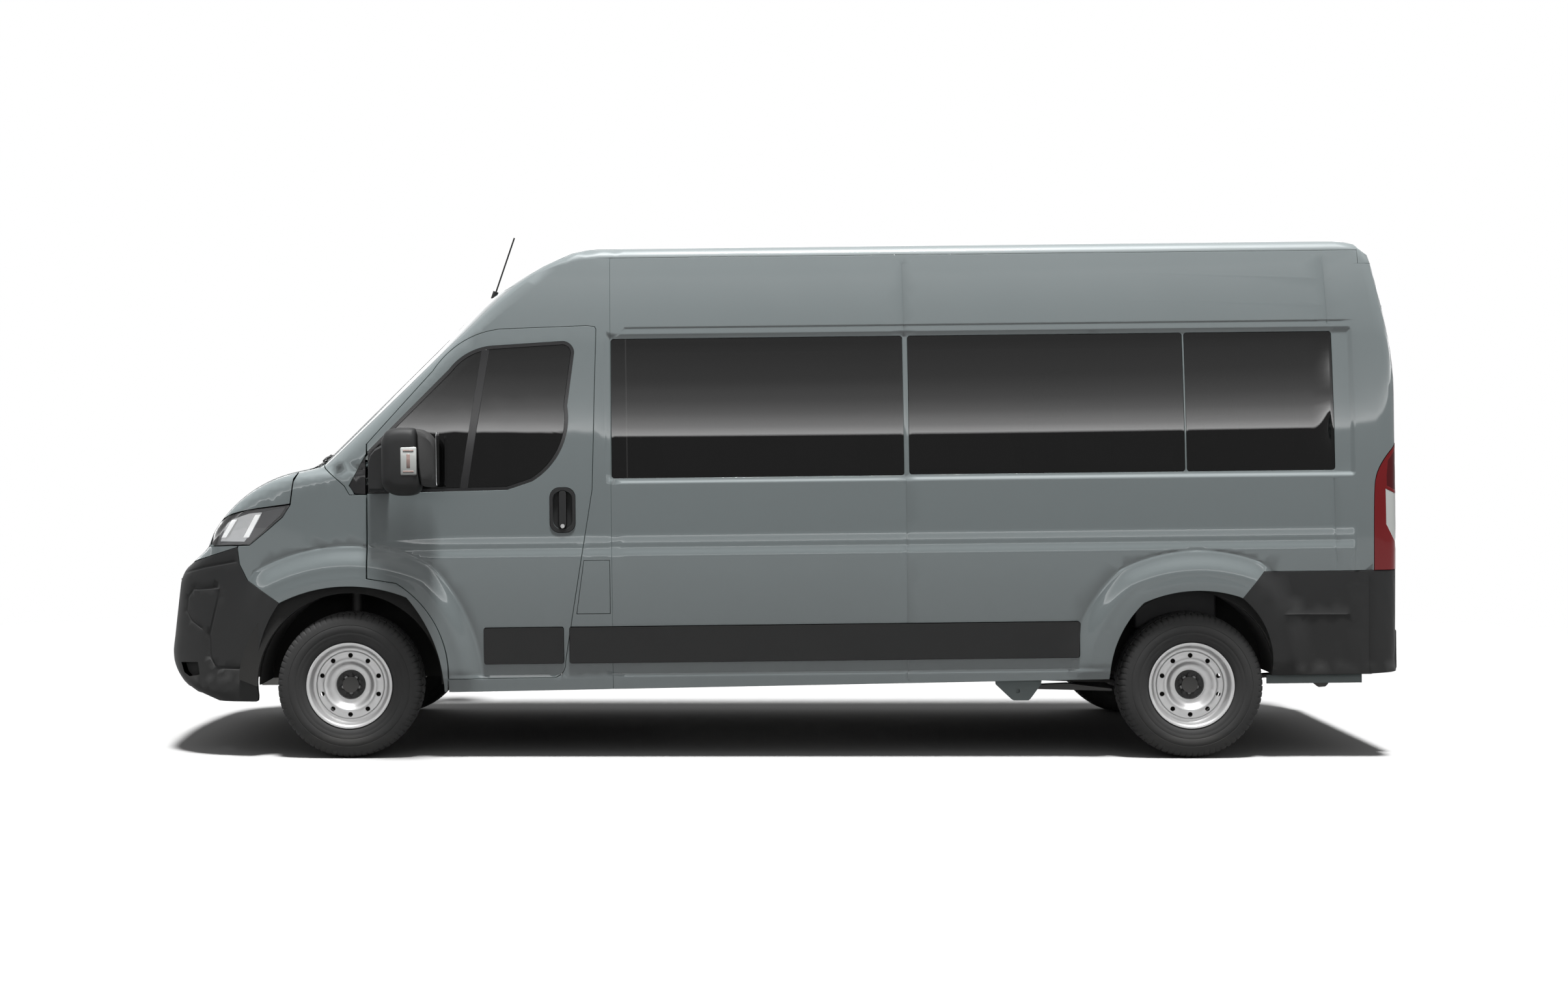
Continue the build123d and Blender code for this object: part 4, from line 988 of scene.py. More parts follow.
wing_loop = loop_of(
    on_side([*front_arch[::-1]][:-1][: len([p for p in front_arch if p[0] > -331]) + 1], 16),
    on_side([(-333, 752), (-486, 856), (-525, 935), (-534, 1012)], 16),
    on_side([(-531, 1019), (-478, 1020), (-385, 1094), (-312, 1155), (-276, 1210)], 16),
    on_side([(-272, 1218), (-257, 1330)], 12),
    settled([(-256, -835, 1800), (-256, -600, 1800)], TOP_WAY, 24),
    across_screen(SCREEN_FOOT - 3, -602, foot_corner[1] - 3),
    on_front([(screen_y(1350) - 4, 1350), (screen_y(1408) - 4, 1408)]),
    on_side([(-124, 1399), (-14, 1302), (10, 1259), (91, 1259), (91, 860)], 16),
    on_side(outline((91, 858), (234, 836), ((396, 676), (474, 380))), 20),
    on_side([(474, 378), (468, 316), (459, 313)], 16))
wing_rows = [
    *flare_rows(front_arch, lambda x, z: -530 < x < 440 and z > 330),
    on_side([(-300, 1015), (88, 1015)], 30), on_side([(-200, 1003), (88, 1003)], 30),
    on_side([(-200, 952), (88, 952)], 30), on_side([(-160, 1190), (-70, 1170)], 12),
]
wing = panel([wing_loop], (0.35, 0.8, -0.4), spacing=36, rows=wing_rows, thick=18)


def make_pair(name, parts, materials, body, node=None):
    """The same piece on the left and, mirrored, on the right. A * in a name stands for the side."""
    for side in ("left", "right"):
        here = [text and text.replace("*", side) for text in (name, body, node)]
        make(here[0], parts, materials, here[1], here[2], mirror=side == "right")


make_pair("wing_*", [wing], PAINTED, "body", "wing_*")

# ---------------------------------------------------------------- Front doors
# A pressed skin folded round its frame, with the belt pressing carried on from the body side, the
# glass run round a fixed front light, a flush pull handle and a stretch of rub strip.
notch = [p for p in grown(GLASS, 1) if p[0] > 104 and (p[1] > 1470 or p[0] > 500)][::-1]
door_loop = loop_of(
    on_side([(100, 864), (100, 1265), *notch, (100, 1469), (100, 1505), *DOOR[2:]], 24))
door_rows = [*belt_rows(106, 1166, 36), *level(500, 960, (404, 397, 391, 385), 40),
             *flare_rows(front_arch, lambda x, z: x > 108 and z > 392)]
DOOR_FACING = (0.25, 0.85, -0.4)
HANDLE_HOLE = rounded_box(984, 1080, 1088, 1270, 40)
door_panel = panel([door_loop, on_side(HANDLE_HOLE, 14)[:-1]], DOOR_FACING, spacing=44,
                   rows=door_rows, thick=30)
make_pair("door_*", [door_panel], PAINTED, "front_door_*", "door_*")

# ---------------------------------------------------------------- Front bumper
# One dark moulded cover round the nose, with a grooved corner panel, two mouths and a lower duct.
GRILLE_Y = 470
bumper_loop = loop_of(
    settled([(-1100, 0, 899), (-1100, -560, 901)], FRONT_WAY, 30),
    on_side([(-778, 938), (-729, 954), (-540, 1012)], 16),
    on_side([(-539, 1013), (-531, 934), (-492, 854), (-336, 751)], 16),
    on_side([p for p in front_arch if p[0] < -331][::-1], 16),
    settled([(-445, -1000, 300), (-447, -1000, 278)], SIDE_WAY, 12),
    settled([(-452, -1000, 275), (-640, -1000, 275)], SIDE_WAY, 20),
    settled([(-1100, -800, 278), (-1100, 0, 282)], FRONT_WAY, 30),
    on_front([(0, 300), (0, 398), (-GRILLE_Y, 398), (-GRILLE_Y, 542), (0, 542), (0, 618)], 20),
    on_front([(0, 618), (-GRILLE_Y, 618), (-GRILLE_Y, 842), (0, 842), (0, 880)], 20))
duct = on_side([(-850, 452), (-752, 458), (-742, 398), (-800, 386), (-832, 404)], 12)
duct_loop = np.concatenate([duct, on_side([(-832, 404), (-850, 452)], 12)[1:-1]])
bumper_rows = [on_side(beside(line, shift), 12) for line in (eased(BUMPER_GROOVE, 1), BUMPER_CREASE)
               for shift in (-9, -6, -3, 0, 3, 6, 9)]
bumper_half = panel([bumper_loop, duct_loop], (0.75, 0.64, -0.1), spacing=30, rows=bumper_rows, thick=26)
# The duct's back is a near-black sheet sunk 25 mm behind its mouth: painted shade inside the duct.
duct_shade_sheet = panel([duct_loop], (0.75, 0.64, -0.1), spacing=30, thick=4, lift=-25, inner=False)
duct_shade_sheet = (duct_shade_sheet[0], duct_shade_sheet[1], [1] * len(duct_shade_sheet[1]), duct_shade_sheet[3])
duct_painted_shade = finish("duct_painted_shade", (0.004, 0.004, 0.004), 0.9, dust=0.0)
bumper_half = (bumper_half[0], bumper_half[1], [0] * len(bumper_half[1]), bumper_half[3])
make("front_bumper", [bumper_half, duct_shade_sheet], [black_plastic, duct_painted_shade], "body", "front_bumper",
     weld=True)

# ---------------------------------------------------------------- Glazing
# Tinted safety glass: bonded panes with a black printed border in the sides, a bowed windscreen,
# and door glass in rubber runs with an upright bar behind the front light.
def glazing(name, tint, alpha_through, specular=0.5):
    """Tinted glass: it shows the studio on its face and darkens what is behind it."""
    material = bpy.data.materials.new(name)
    material.use_nodes = True
    tree = material.node_tree
    shader = tree.nodes["Principled BSDF"]
    shader.inputs["Metallic"].default_value = 0.0
    shader.inputs["Transmission Weight"].default_value = alpha_through
    shader.inputs["IOR"].default_value = 1.52
    shader.inputs["Specular IOR Level"].default_value = specular
    at = tree.nodes.new("ShaderNodeTexCoord")
    haze = tree.nodes.new("ShaderNodeTexNoise")
    haze.inputs["Scale"].default_value = 3.0
    haze.inputs["Detail"].default_value = 4
    smear = tree.nodes.new("ShaderNodeMapRange")
    smear.inputs["To Min"].default_value = 0.0
    smear.inputs["To Max"].default_value = 0.006
    shade = tree.nodes.new("ShaderNodeMix")
    shade.data_type = "RGBA"
    shade.inputs["A"].default_value = (*tint, 1)
    shade.inputs["B"].default_value = (*(c * 0.82 for c in tint), 1)
    tree.links.new(at.outputs["Object"], haze.inputs["Vector"])
    tree.links.new(haze.outputs["Fac"], smear.inputs["Value"])
    tree.links.new(smear.outputs["Result"], shader.inputs["Roughness"])
    tree.links.new(haze.outputs["Fac"], shade.inputs["Factor"])
    tree.links.new(shade.outputs["Result"], shader.inputs["Base Color"])
    return material


side_glass = glazing("tinted_side_glass", (0.028, 0.028, 0.028), 0.9)
screen_glass = glazing("screen_glass", (0.42, 0.45, 0.44), 0.97, specular=0.2)
border_black = finish("border_print", (0.012, 0.012, 0.013), 0.12, grain=0.0, dust=0.02)
rubber = finish("rubber_run", (0.018, 0.018, 0.018), 0.7, grain=0.3, grain_size=600.0)
GLAZED = [side_glass, border_black, side_glass]
BORDER = [border_black, border_black, border_black]
PANE_GAP, PANE_THICK, PANE_SINK, PANE_PITCH = 1.5, 5, -1.4, 36


def bonded_pane(x0, x1, z0, z1):
    """A pane of glass a little smaller than its opening."""
    edge = on_side(rounded_box(x0 + PANE_GAP, x1 - PANE_GAP, z0 + PANE_GAP, z1 - PANE_GAP, 14), 60)[:-1]
    rows = [on_side([(x0 + 16, z), (x1 - 16, z)], 110) for z in range(z0 + 20, z1 - 10, PANE_PITCH)]
    return panel([edge], SIDE_FACING, spacing=110, rows=rows, thick=PANE_THICK, lift=PANE_SINK)


left_glass = [bonded_pane(*p) for p in LEFT_PANES]
right_glass = [bonded_pane(*p) for p in (SLIDING_PANE, *REAR_PANES)]
screen_side = on_front([(screen_y(foot_corner[2]) + 3, foot_corner[2]), (head_corner[1] + 3, head_corner[2])],
                       40)
screen_loop = loop_of(
    across_screen(SCREEN_FOOT + 4, 0, foot_corner[1] + 4, 40), screen_side,
    across_screen(SCREEN_HEAD - 4, head_corner[1] + 4, 0, 40),
    settled([(500, 0, 2300), (-240, 0, 1500)], SCREEN_WAY, 50))
screen_half = panel([screen_loop], (1, 0.25, -1), spacing=90, thick=5, lift=-2.4)
band_side = on_front([(screen_y(foot_corner[2]) + 60, foot_corner[2] + 50),
                      (head_corner[1] + 48, head_corner[2] - 60)], 40)
band_loop = loop_of(
    screen_side[::-1], across_screen(SCREEN_FOOT + 4, foot_corner[1] + 4, 0, 40),
    settled([(-244, 0, 1500), (-200, 0, 1560)], SCREEN_WAY, 30),
    across_screen(SCREEN_FOOT + 110, 0, foot_corner[1] + 66, 40), band_side,
    across_screen(SCREEN_HEAD - 90, head_corner[1] + 56, 0, 40),
    settled([(470, 0, 2260), (490, 0, 2290)], SCREEN_WAY, 30),
    across_screen(SCREEN_HEAD - 4, 0, head_corner[1] + 4, 40))
screen_band = panel([band_loop], (1, 0.25, -1), spacing=60, thick=0.5, lift=-1.7, inner=False)
CORNER_PANE = [(89, 1266), (89, 1452), (12, 1306), (40, 1268), (89, 1266)]
corner_pane = panel([on_side(CORNER_PANE, 20)[:-1]], (0.3, 0.85, -0.3), spacing=40, thick=5, lift=-2.4)
make("glass_left_side", left_glass, GLAZED, "body", "fixed_glass")
make("glass_right_side", right_glass, GLAZED, "body", "fixed_glass", mirror=True)
make("windscreen", [screen_half], [screen_glass, border_black, screen_glass], "body", "fixed_glass",
     weld=True)
make("screen_border", [screen_band], BORDER, "body", weld=True)
make_pair("corner_light_*", [corner_pane], BORDER, "body", "fixed_glass")

door_glass_edge = [p for p in grown(GLASS, -1) if p[0] > 112 and (p[1] > 1480 or p[0] > 500)]
door_glass_line = [(104, 1268), (104, 1472), *door_glass_edge, (104, 1268)]
door_glass_loop = on_side(door_glass_line, 40)[:-1]
door_sight = [p for p in grown(door_glass_line, -15)][:-1]
door_sight_loop = on_side([*door_sight, door_sight[0]], 40)[:-1]
door_pane = panel([door_glass_loop], DOOR_FACING, spacing=90, thick=5, lift=-4)
door_run = panel([door_glass_loop, door_sight_loop], DOOR_FACING, spacing=60, thick=6, lift=-1, inner=False)
DIVIDER = [(650, 1948), (684, 1950), (577, 1290), (543, 1290), (650, 1948)]
divider = panel([on_side(DIVIDER, 30)[:-1]], DOOR_FACING, spacing=60, thick=8, lift=-0.5)
make_pair("door_glass_*", [door_pane], GLAZED, "front_door_*", "door_glass_*")
make_pair("glass_run_*", [door_run, divider], BORDER, "front_door_*")

# ---------------------------------------------------------------- Rub strips, handles and fuel flap
# Moulded strips clipped to the doors and sides, oval handle bowls with an upright grip, and the
# painted flap over the filler.
STRIP_Z = (447, 619)


def rub_strip(x0, x1):
    """One stretch of strip, with a crease along each long edge."""
    edge = on_side(rounded_box(x0, x1, *STRIP_Z, 9), 60)[:-1]
    crease = [on_side([(x0 + 12, z), (x1 - 12, z)], 60) for z in (STRIP_Z[0] + 12, STRIP_Z[1] - 12)]
    return panel([edge], SIDE_FACING, spacing=80, rows=crease, thick=13, lift=11)


handle_plate = panel(
    [on_side(rounded_box(972, 1092, 1072, 1286, 46), 14)[:-1], on_side(HANDLE_HOLE, 14)[:-1]],
    SIDE_FACING, spacing=40, thick=7, lift=5, inner=False)
handle_bowl = panel([on_side(rounded_box(982, 1082, 1086, 1272, 42), 14)[:-1]], SIDE_FACING,
                    spacing=30, thick=3, lift=-16, inner=False)
handle_grip = panel([on_side(rounded_box(1016, 1050, 1096, 1272, 15), 12)[:-1]], SIDE_FACING, spacing=30,
                    thick=24, lift=10)
lock = panel([on_side(rounded_box(1022, 1042, 1092, 1112, 9.8), 6)[:-1]], SIDE_FACING, spacing=30,
             thick=20, lift=10.6)
zinc = finish("zinc_plate", (0.42, 0.42, 0.42), 0.35, metallic=0.9, dust=0.0)
make_pair("door_trim_*", [rub_strip(651, 1030), handle_plate, handle_bowl, handle_grip], MOULDED,
          "front_door_*", "door_trim_*")
make_pair("door_lock_*", [lock], [zinc] * 3, "front_door_*")
make("side_strip_left", [rub_strip(1060, 3497)], MOULDED, "body", "side_strips")
make("side_strip_right", [rub_strip(1060, 1262), rub_strip(1278, 2662), rub_strip(2676, 3497)],
     MOULDED, "body", "side_strips", mirror=True)
flap = panel([on_side(grown(FLAP, -3), 20)[:-1]], SIDE_FACING, spacing=40, thick=9)
make("fuel_flap", [flap], PAINTED, "fuel_flap", "fuel_flap")

# ---------------------------------------------------------------- Rear corners and tail lamps
# Dark moulded corner covers joined by a step below the rear doors, and the moulded lamps that wrap
# round the posts above them.
def block(x0, x1, y0, y1, z0, z1, radius=6, segments=3):
    """A bar with rounded edges, in body millimetres."""
    work = bmesh.new()
    bmesh.ops.create_cube(work, size=1)
    spans = ((x0, x1), (y0, y1), (z0, z1))
    for v in work.verts:
        v.co = [(low + high) / 2 + at * (high - low) for at, (low, high) in zip(v.co, spans)]
    offset = min(radius, 0.45 * min(high - low for low, high in spans))
    bmesh.ops.bevel(work, geom=work.edges[:], offset=offset, segments=segments, profile=0.5, affect="EDGES")
    bmesh.ops.recalc_face_normals(work, faces=work.faces)
    work.normal_update()
    work.verts.index_update()
    verts = np.array([tuple(v.co) for v in work.verts])
    faces = [tuple(v.index for v in f.verts) for f in work.faces]
    shades = np.array([tuple(v.normal) for v in work.verts])
    work.free()
    return verts, faces, [0] * len(faces), shades


corner_loop = loop_of(
    on_side([(4378, 845), (4900, 845)], 24),
    settled([(4905, -1012, 845), (4990, -960, 845), (5066, -846, 845)], corner_way, 14),
    settled([(5080, -846, 845), (5080, -846, 366)], BACK_WAY, 30),
    settled([(5060, -846, 364), (4990, -950, 362), (4905, -1005, 354)], corner_way, 14),
    on_side([(4890, 352), (4419, 352)], 24),
    on_side([p for p in rear_arch if p[0] > 4272 and p[1] > 345][::-1], 16),
    on_side([(4274, 724), (4376, 845)], 16))
corner_rows = [on_side(beside(EMBOSS, shift), 30) for shift in (-6, -3, 3, 6)]
corner_rows += [on_side([(4885 + shift, 366), (4885 + shift, 836)], 30) for shift in (-4, -1, 1, 4)]
corner_rows += [settled([(5100, y, 380), (5100, y, 830)], BACK_WAY, 60)
                for y in (-856, -872, -890, -910, -935, -960)]
corner_cover = panel([corner_loop], corner_way, spacing=44, rows=corner_rows, thick=30)
step_bar = block(4992, 5066, -842, 842, 352, 552, 14, 4)
step_treads = [block(5008 + i * 12, 5014 + i * 12, -820, 820, 550, 555, 1.5, 1) for i in range(4)]
corner_right = (corner_cover[0] * (1, -1, 1), [f[::-1] for f in corner_cover[1]], corner_cover[2],
                corner_cover[3] * (1, -1, 1))
make("rear_bumper", [corner_cover, corner_right, step_bar, *step_treads], [black_plastic] * 3, "body",
     "rear_bumper")

lamp_edge = eased([(5026, 1449), (4970, 1388), (4924, 1308), (4913, 1210), (4910, 848)])


LENS_ROUGH, FLUTE_DEPTH = 0.08, 0.001


def lens(name, color, painted_glow):
    """A moulded lamp lens: a glossy coloured skin with fine upright flutes behind it. It glows faintly in its
    own colour, a painted glow for light caught in the unlit lens.
    """
    material = finish(name, color, LENS_ROUGH, coat=0.2, coat_roughness=0.02, dust=0.04, grain=0.0,
                      specular=0.25, alt=tuple(c * 0.75 for c in color))
    tree = material.node_tree
    shader = tree.nodes["Principled BSDF"]
    at = tree.nodes.new("ShaderNodeTexCoord")
    flutes = tree.nodes.new("ShaderNodeTexWave")
    flutes.inputs["Scale"].default_value = 60.0
    flutes.inputs["Distortion"].default_value = 0.2
    relief = tree.nodes.new("ShaderNodeBump")
    relief.inputs["Strength"].default_value = 0.12
    relief.inputs["Distance"].default_value = FLUTE_DEPTH
    tree.links.new(at.outputs["Object"], flutes.inputs["Vector"])
    tree.links.new(flutes.outputs["Fac"], relief.inputs["Height"])
    tree.links.new(relief.outputs["Normal"], shader.inputs["Normal"])
    # Painted glow: the lamp is not lit, yet the lens gives off a little light of its own colour.
    shader.inputs["Emission Color"].default_value = (*color, 1)
    shader.inputs["Emission Strength"].default_value = painted_glow
    return material


red_lens = lens("red_lens", (0.20, 0.010, 0.012), 0.06)
dark_red_lens = lens("dark_red_lens", (0.09, 0.006, 0.008), 0.03)
clear_lens = lens("clear_lens", (0.62, 0.64, 0.62), 0.05)
REAR_POST_Y = -846
lamp_loop = loop_of(
    on_side(lamp_edge, 16),
    settled([(4912, -1010, 850), (4990, -960, 850), (5066, REAR_POST_Y, 850)], corner_way, 14),
    settled([(5090, REAR_POST_Y, 850), (5090, REAR_POST_Y, 1460)], BACK_WAY, 30),
    settled([(5062, REAR_POST_Y, 1462), (5028, -975, 1451)], corner_way, 12))
clear_loop = loop_of(
    on_side([(4968, 1238), (4969, 1066)], 12),
    on_side([(4975, 1056), (5000, 1008), (5018, 980)], 12),
    settled([(5060, -950, 974), (5090, -872, 968)], corner_way, 12),
    settled([(5090, -870, 972), (5090, -870, 1204)], BACK_WAY, 24),
    settled([(5064, -872, 1206), (5020, -950, 1214)], corner_way, 12),
    on_side([(5016, 1216), (4968, 1238)], 12))
dark_loop = loop_of(
    on_side([(4974, 1250), (5014, 1230)], 12),
    settled([(5020, -950, 1227), (5064, -872, 1220)], corner_way, 12),
    settled([(5090, -870, 1222), (5090, -870, 1436)], BACK_WAY, 24),
    settled([(5062, -872, 1438), (5030, -960, 1430)], corner_way, 12),
    on_side([(5026, 1428), (4982, 1372), (4974, 1300), (4974, 1250)], 12))
lamp_body = panel([lamp_loop, clear_loop, dark_loop], corner_way, spacing=22, thick=24, lift=1.5)
clear_part = panel([clear_loop], corner_way, spacing=22, thick=4, lift=1.0)
dark_part = panel([dark_loop], corner_way, spacing=22, thick=4, lift=1.0)
make_pair("tail_lamp_*", [lamp_body], [red_lens] * 3, "body", "tail_lamps")
make_pair("tail_clear_*", [clear_part], [clear_lens] * 3, "body")
make_pair("tail_dark_*", [dark_part], [dark_red_lens] * 3, "body")

# ---------------------------------------------------------------- Rear doors
# Two tall pressed doors hung on outside hinges, with bonded panes, a pull handle over the lock and
# a blank number plate on a moulded panel.
def on_back(points, spacing=24):
    """A rear-view (y, z) polyline laid on the skin."""
    return settled([(5300, y, z) for y, z in points], BACK_WAY, spacing)


BACK_FACING = (-0.995, 0.1, -0.02)
LEAF = (-838, -5, 562, 2314)                        # y from hinge edge to middle, z from sill to head
BACK_PANE = (-722, -104, 1336, 1958)
KNUCKLE_SIDES = 16
leaf_loop = on_back(rounded_box(*LEAF, 20), 40)[:-1]
pane_loop = on_back(rounded_box(*BACK_PANE, 40), 20)[:-1]
leaf = panel([leaf_loop, pane_loop], BACK_FACING, spacing=60, thick=30)
leaf_pane_rows = [on_back([(BACK_PANE[0] + 6, z), (BACK_PANE[1] - 6, z)], 90)
                  for z in range(BACK_PANE[2] + 20, BACK_PANE[3] - 10, PANE_PITCH)]
pane_box = [edge + inward * PANE_GAP for edge, inward in zip(BACK_PANE, (1, -1, 1, -1))]
leaf_pane = panel([on_back(rounded_box(*pane_box, 38), 60)[:-1]], BACK_FACING, spacing=110,
                  rows=leaf_pane_rows, thick=PANE_THICK, lift=PANE_SINK)


def on_leaf(y0, y1, z0, z1, radius, thick, lift):
    """A rounded panel set on the back of a rear door."""
    return panel([on_back(rounded_box(y0, y1, z0, z1, radius), 24)[:-1]], BACK_FACING, spacing=60,
                 thick=thick, lift=lift, inner=False)


def bar_of(*rings):
    """A closed bar through matching rings of points, as (verts, faces, tags, normals)."""
    count, last = len(rings[0]), len(rings) - 1
    faces = [(k * count + i, k * count + (i + 1) % count, (k + 1) * count + (i + 1) % count,
              (k + 1) * count + i)
             for k in range(last) for i in range(count)]
    faces += [tuple(range(count))[::-1], tuple(range(last * count, (last + 1) * count))]
    return np.concatenate(rings).astype(float), faces, [0] * len(faces), None


def upright_rod(x, y, radius, z0, z1):
    """A plain upright pin or knuckle."""
    turn = np.arange(KNUCKLE_SIDES) * 2 * np.pi / KNUCKLE_SIDES
    ring = np.stack([x + radius * np.cos(turn), y + radius * np.sin(turn), 0 * turn], 1)
    return bar_of(ring + (0, 0, z0), ring + (0, 0, z1))


plate_white = finish("blank_plate", (0.62, 0.62, 0.60), 0.4, grain=0.05, dust=0.1)
door_knuckles, post_knuckles = [], []
for z in (760, 1540, 2080):
    x = float(on_back([(-846, z), (-845, z)])[0][0])
    door_knuckles += [upright_rod(x - 2, -845, 11, z + 1, z + 42),
                      block(x - 14, x + 6, -838, -770, z + 3, z + 40, 4)]
    post_knuckles += [upright_rod(x - 2, -845, 11, z - 42, z - 1),
                      block(x - 24, x + 2, -872, -846, z - 40, z - 3, 4)]
make_pair("rear_door_*", [leaf, *door_knuckles], PAINTED, "rear_door_*", "rear_door_*")
make_pair("rear_door_glass_*", [leaf_pane], GLAZED, "rear_door_*", "rear_door_glass_*")
make_pair("rear_door_lip_*", [on_leaf(-830, -12, 566, 612, 8, 8, 5)], MOULDED, "rear_door_*")
make_pair("rear_hinges_*", post_knuckles, PAINTED, "body", "body_hinges")
make("rear_handle", [on_leaf(-150, -40, 1040, 1180, 20, 10, 6), on_leaf(-128, -96, 1056, 1164, 12, 22, 16)],
     MOULDED, "rear_door_left")
make("plate_panel", [on_leaf(-690, -110, 800, 948, 14, 10, 6), on_leaf(-600, -200, 942, 966, 10, 16, 12)],
     MOULDED, "rear_door_left")
make("number_plate", [on_leaf(-660, -140, 816, 926, 6, 3, 9)], [plate_white] * 3, "rear_door_left")

# ---------------------------------------------------------------- Headlamps
# A clear moulded cover over a dark moulded housing, with a bright plated reflector frame and two
# upright light bars, let into the wing's front corner below the bonnet's edge.
housing = finish("lamp_housing", (0.08, 0.08, 0.085), 0.35, metallic=0.4, dust=0.0)
reflector = finish("lamp_reflector", (0.62, 0.62, 0.63), 0.18, metallic=0.85, dust=0.0)
# The light bars glow brightly though the lamp is off: a painted highlight in place of the reflections on
# them.
light_bar = lens("light_bar", (0.9, 0.9, 0.9), 0.5)
lamp_clear = glazing("headlamp_cover", (0.97, 0.98, 0.98), 1.0)
head_loop = on_side([tuple(p) for p in grown(HEADLAMP, -1)], 16)[:-1]


def lamp_layer(points, lift, thick=4):
    """One flat part of the lamp's inside, sunk below its cover."""
    return panel([on_side([*points, points[0]], 14)[:-1]], NOSE_FACING, spacing=40, thick=thick, lift=lift,
                 inner=False)


head_cover = panel([head_loop], NOSE_FACING, spacing=30, thick=3)
head_back = lamp_layer([tuple(p) for p in grown(HEADLAMP, -3)[:-1]], -26)
head_frame = lamp_layer([(-632, 1044), (-600, 1135), (-550, 1156), (-480, 1176), (-420, 1181), (-470, 1090),
                         (-508, 1042)], -18, 6)
bars = [lamp_layer([(-622, 1062), (-598, 1062), (-540, 1150), (-568, 1148)], -10, 8),
        lamp_layer([(-510, 1062), (-484, 1062), (-424, 1172), (-450, 1170)], -10, 8)]
tip = lamp_layer([(-405, 1186), (-300, 1207), (-330, 1166), (-398, 1104), (-478, 1036), (-500, 1040),
                  (-464, 1098)], -12, 6)
make_pair("headlamp_cover_*", [head_cover], [lamp_clear] * 3, "body", "headlamps")
make_pair("headlamp_housing_*", [head_back, tip], [housing] * 3, "body")
make_pair("headlamp_reflector_*", [head_frame], [reflector] * 3, "body")
make_pair("headlamp_bars_*", bars, [light_bar] * 3, "body")

# ---------------------------------------------------------------- Wheels
# Pressed steel disc wheels, painted silver, with ten vent holes and a light cap between the bolts,
# and road tyres with ringed side walls and cut shoulder blocks.
WHEEL_Y, RIM_STEPS = 895, 120
VENTS, VENT_PITCH_R, VENT_R = 10, 142, 11.5
BOLTS, BOLT_PITCH_R = 5, 46


def turned(profile, count):
    """A profile of (radius, outboard) turned about the axle: (verts, faces, tags, None)."""
    profile = np.array(profile, float)
    angle = np.arange(count) * 2 * np.pi / count
    radius, out = profile[:, 0][None, :], profile[:, 1][None, :]
    verts = np.stack([radius * np.cos(angle)[:, None], -out + 0 * angle[:, None],
                      radius * np.sin(angle)[:, None]], 2)
    rows = len(profile)
    faces = [(i * rows + j, i * rows + (j + 1) % rows, (i + 1) % count * rows + (j + 1) % rows,
              (i + 1) % count * rows + j)
             for i in range(count) for j in range(rows)]
    return verts.reshape(-1, 3), faces, [0] * len(faces), None


def carve(part, cutters):
    """A part with holes cut by other closed parts."""
    meshes = []
    for verts, faces, *_ in (part, *cutters):
        mesh = bpy.data.meshes.new("cut")
        mesh.from_pydata([tuple(v) for v in verts], [], faces)
        work = bmesh.new()
        work.from_mesh(mesh)
        bmesh.ops.recalc_face_normals(work, faces=work.faces)
        work.to_mesh(mesh)
        work.free()
        meshes.append(mesh)
    main = bpy.data.objects.new("cut", meshes[0])
    tools = bpy.data.collections.new("cutters")
    scene.collection.objects.link(main)
    for mesh in meshes[1:]:
        tools.objects.link(bpy.data.objects.new("cutter", mesh))
    cut = main.modifiers.new("cut", "BOOLEAN")
    cut.operand_type = "COLLECTION"
    cut.collection = tools
    cut.solver = "EXACT"
    scene.collection.children.link(tools)
    done = main.evaluated_get(bpy.context.evaluated_depsgraph_get()).to_mesh()
    verts = np.array([tuple(v.co) for v in done.vertices])
    faces = [tuple(p.vertices) for p in done.polygons]
    for tool in list(tools.objects):
        bpy.data.objects.remove(tool)
    bpy.data.collections.remove(tools)
    bpy.data.objects.remove(main)
    return verts, faces, [0] * len(faces), None


def rod_y(x, z, radius, y0, y1, count=24):
    """A plain rod across the van."""
    angle = np.arange(count) * 2 * np.pi / count
    ring = np.stack([x + radius * np.cos(angle), 0 * angle, z + radius * np.sin(angle)], 1)
    return bar_of(ring + (0, y0, 0), ring + (0, y1, 0))


rim_profile = [             # (radius, outboard), from the outer bead round the flange, disc, hub and back
    (190.3, 80), (191.5, 86), (197, 90), (204, 91.5), (206.4, 94.5), (205.6, 98), (202, 99.5), (197, 98.6),
    (192, 95), (188.5, 89), (186.5, 80), (184, 68), (180, 58), (174, 52.5), (168, 51), (164.5, 52),
    (162, 55), (160, 58.5), (157, 60), (150, 60), (141, 60.5), (133, 62.5), (128, 66.5), (125, 69.5),
    (121.5, 70.5), (117.5, 69), (112, 64), (104, 55), (96, 47), (88, 42), (80, 40.5), (76, 42),
    (73.5, 43.5), (71, 42.5), (70, 39), (70, 30), (39.5, 30), (39.5, 24), (78, 24), (96, 36), (112, 50),
    (124, 57), (140, 53), (156, 50), (166, 42), (172, 36), (173, 24), (170, 10), (170, -40), (180, -66),
    (186, -82), (196, -91), (204, -93), (207, -90), (206, -84), (199, -81), (190.3, -78), (186, -66),
    (176, -40), (176, 10), (182, 50), (186, 66)]
vents = [rod_y(VENT_PITCH_R * math.cos(a), VENT_PITCH_R * math.sin(a), VENT_R, -90, -34)
         for a in (math.radians(90 + 360 // VENTS * i) for i in range(VENTS))]
rim_part = carve(turned(rim_profile, RIM_STEPS), vents)
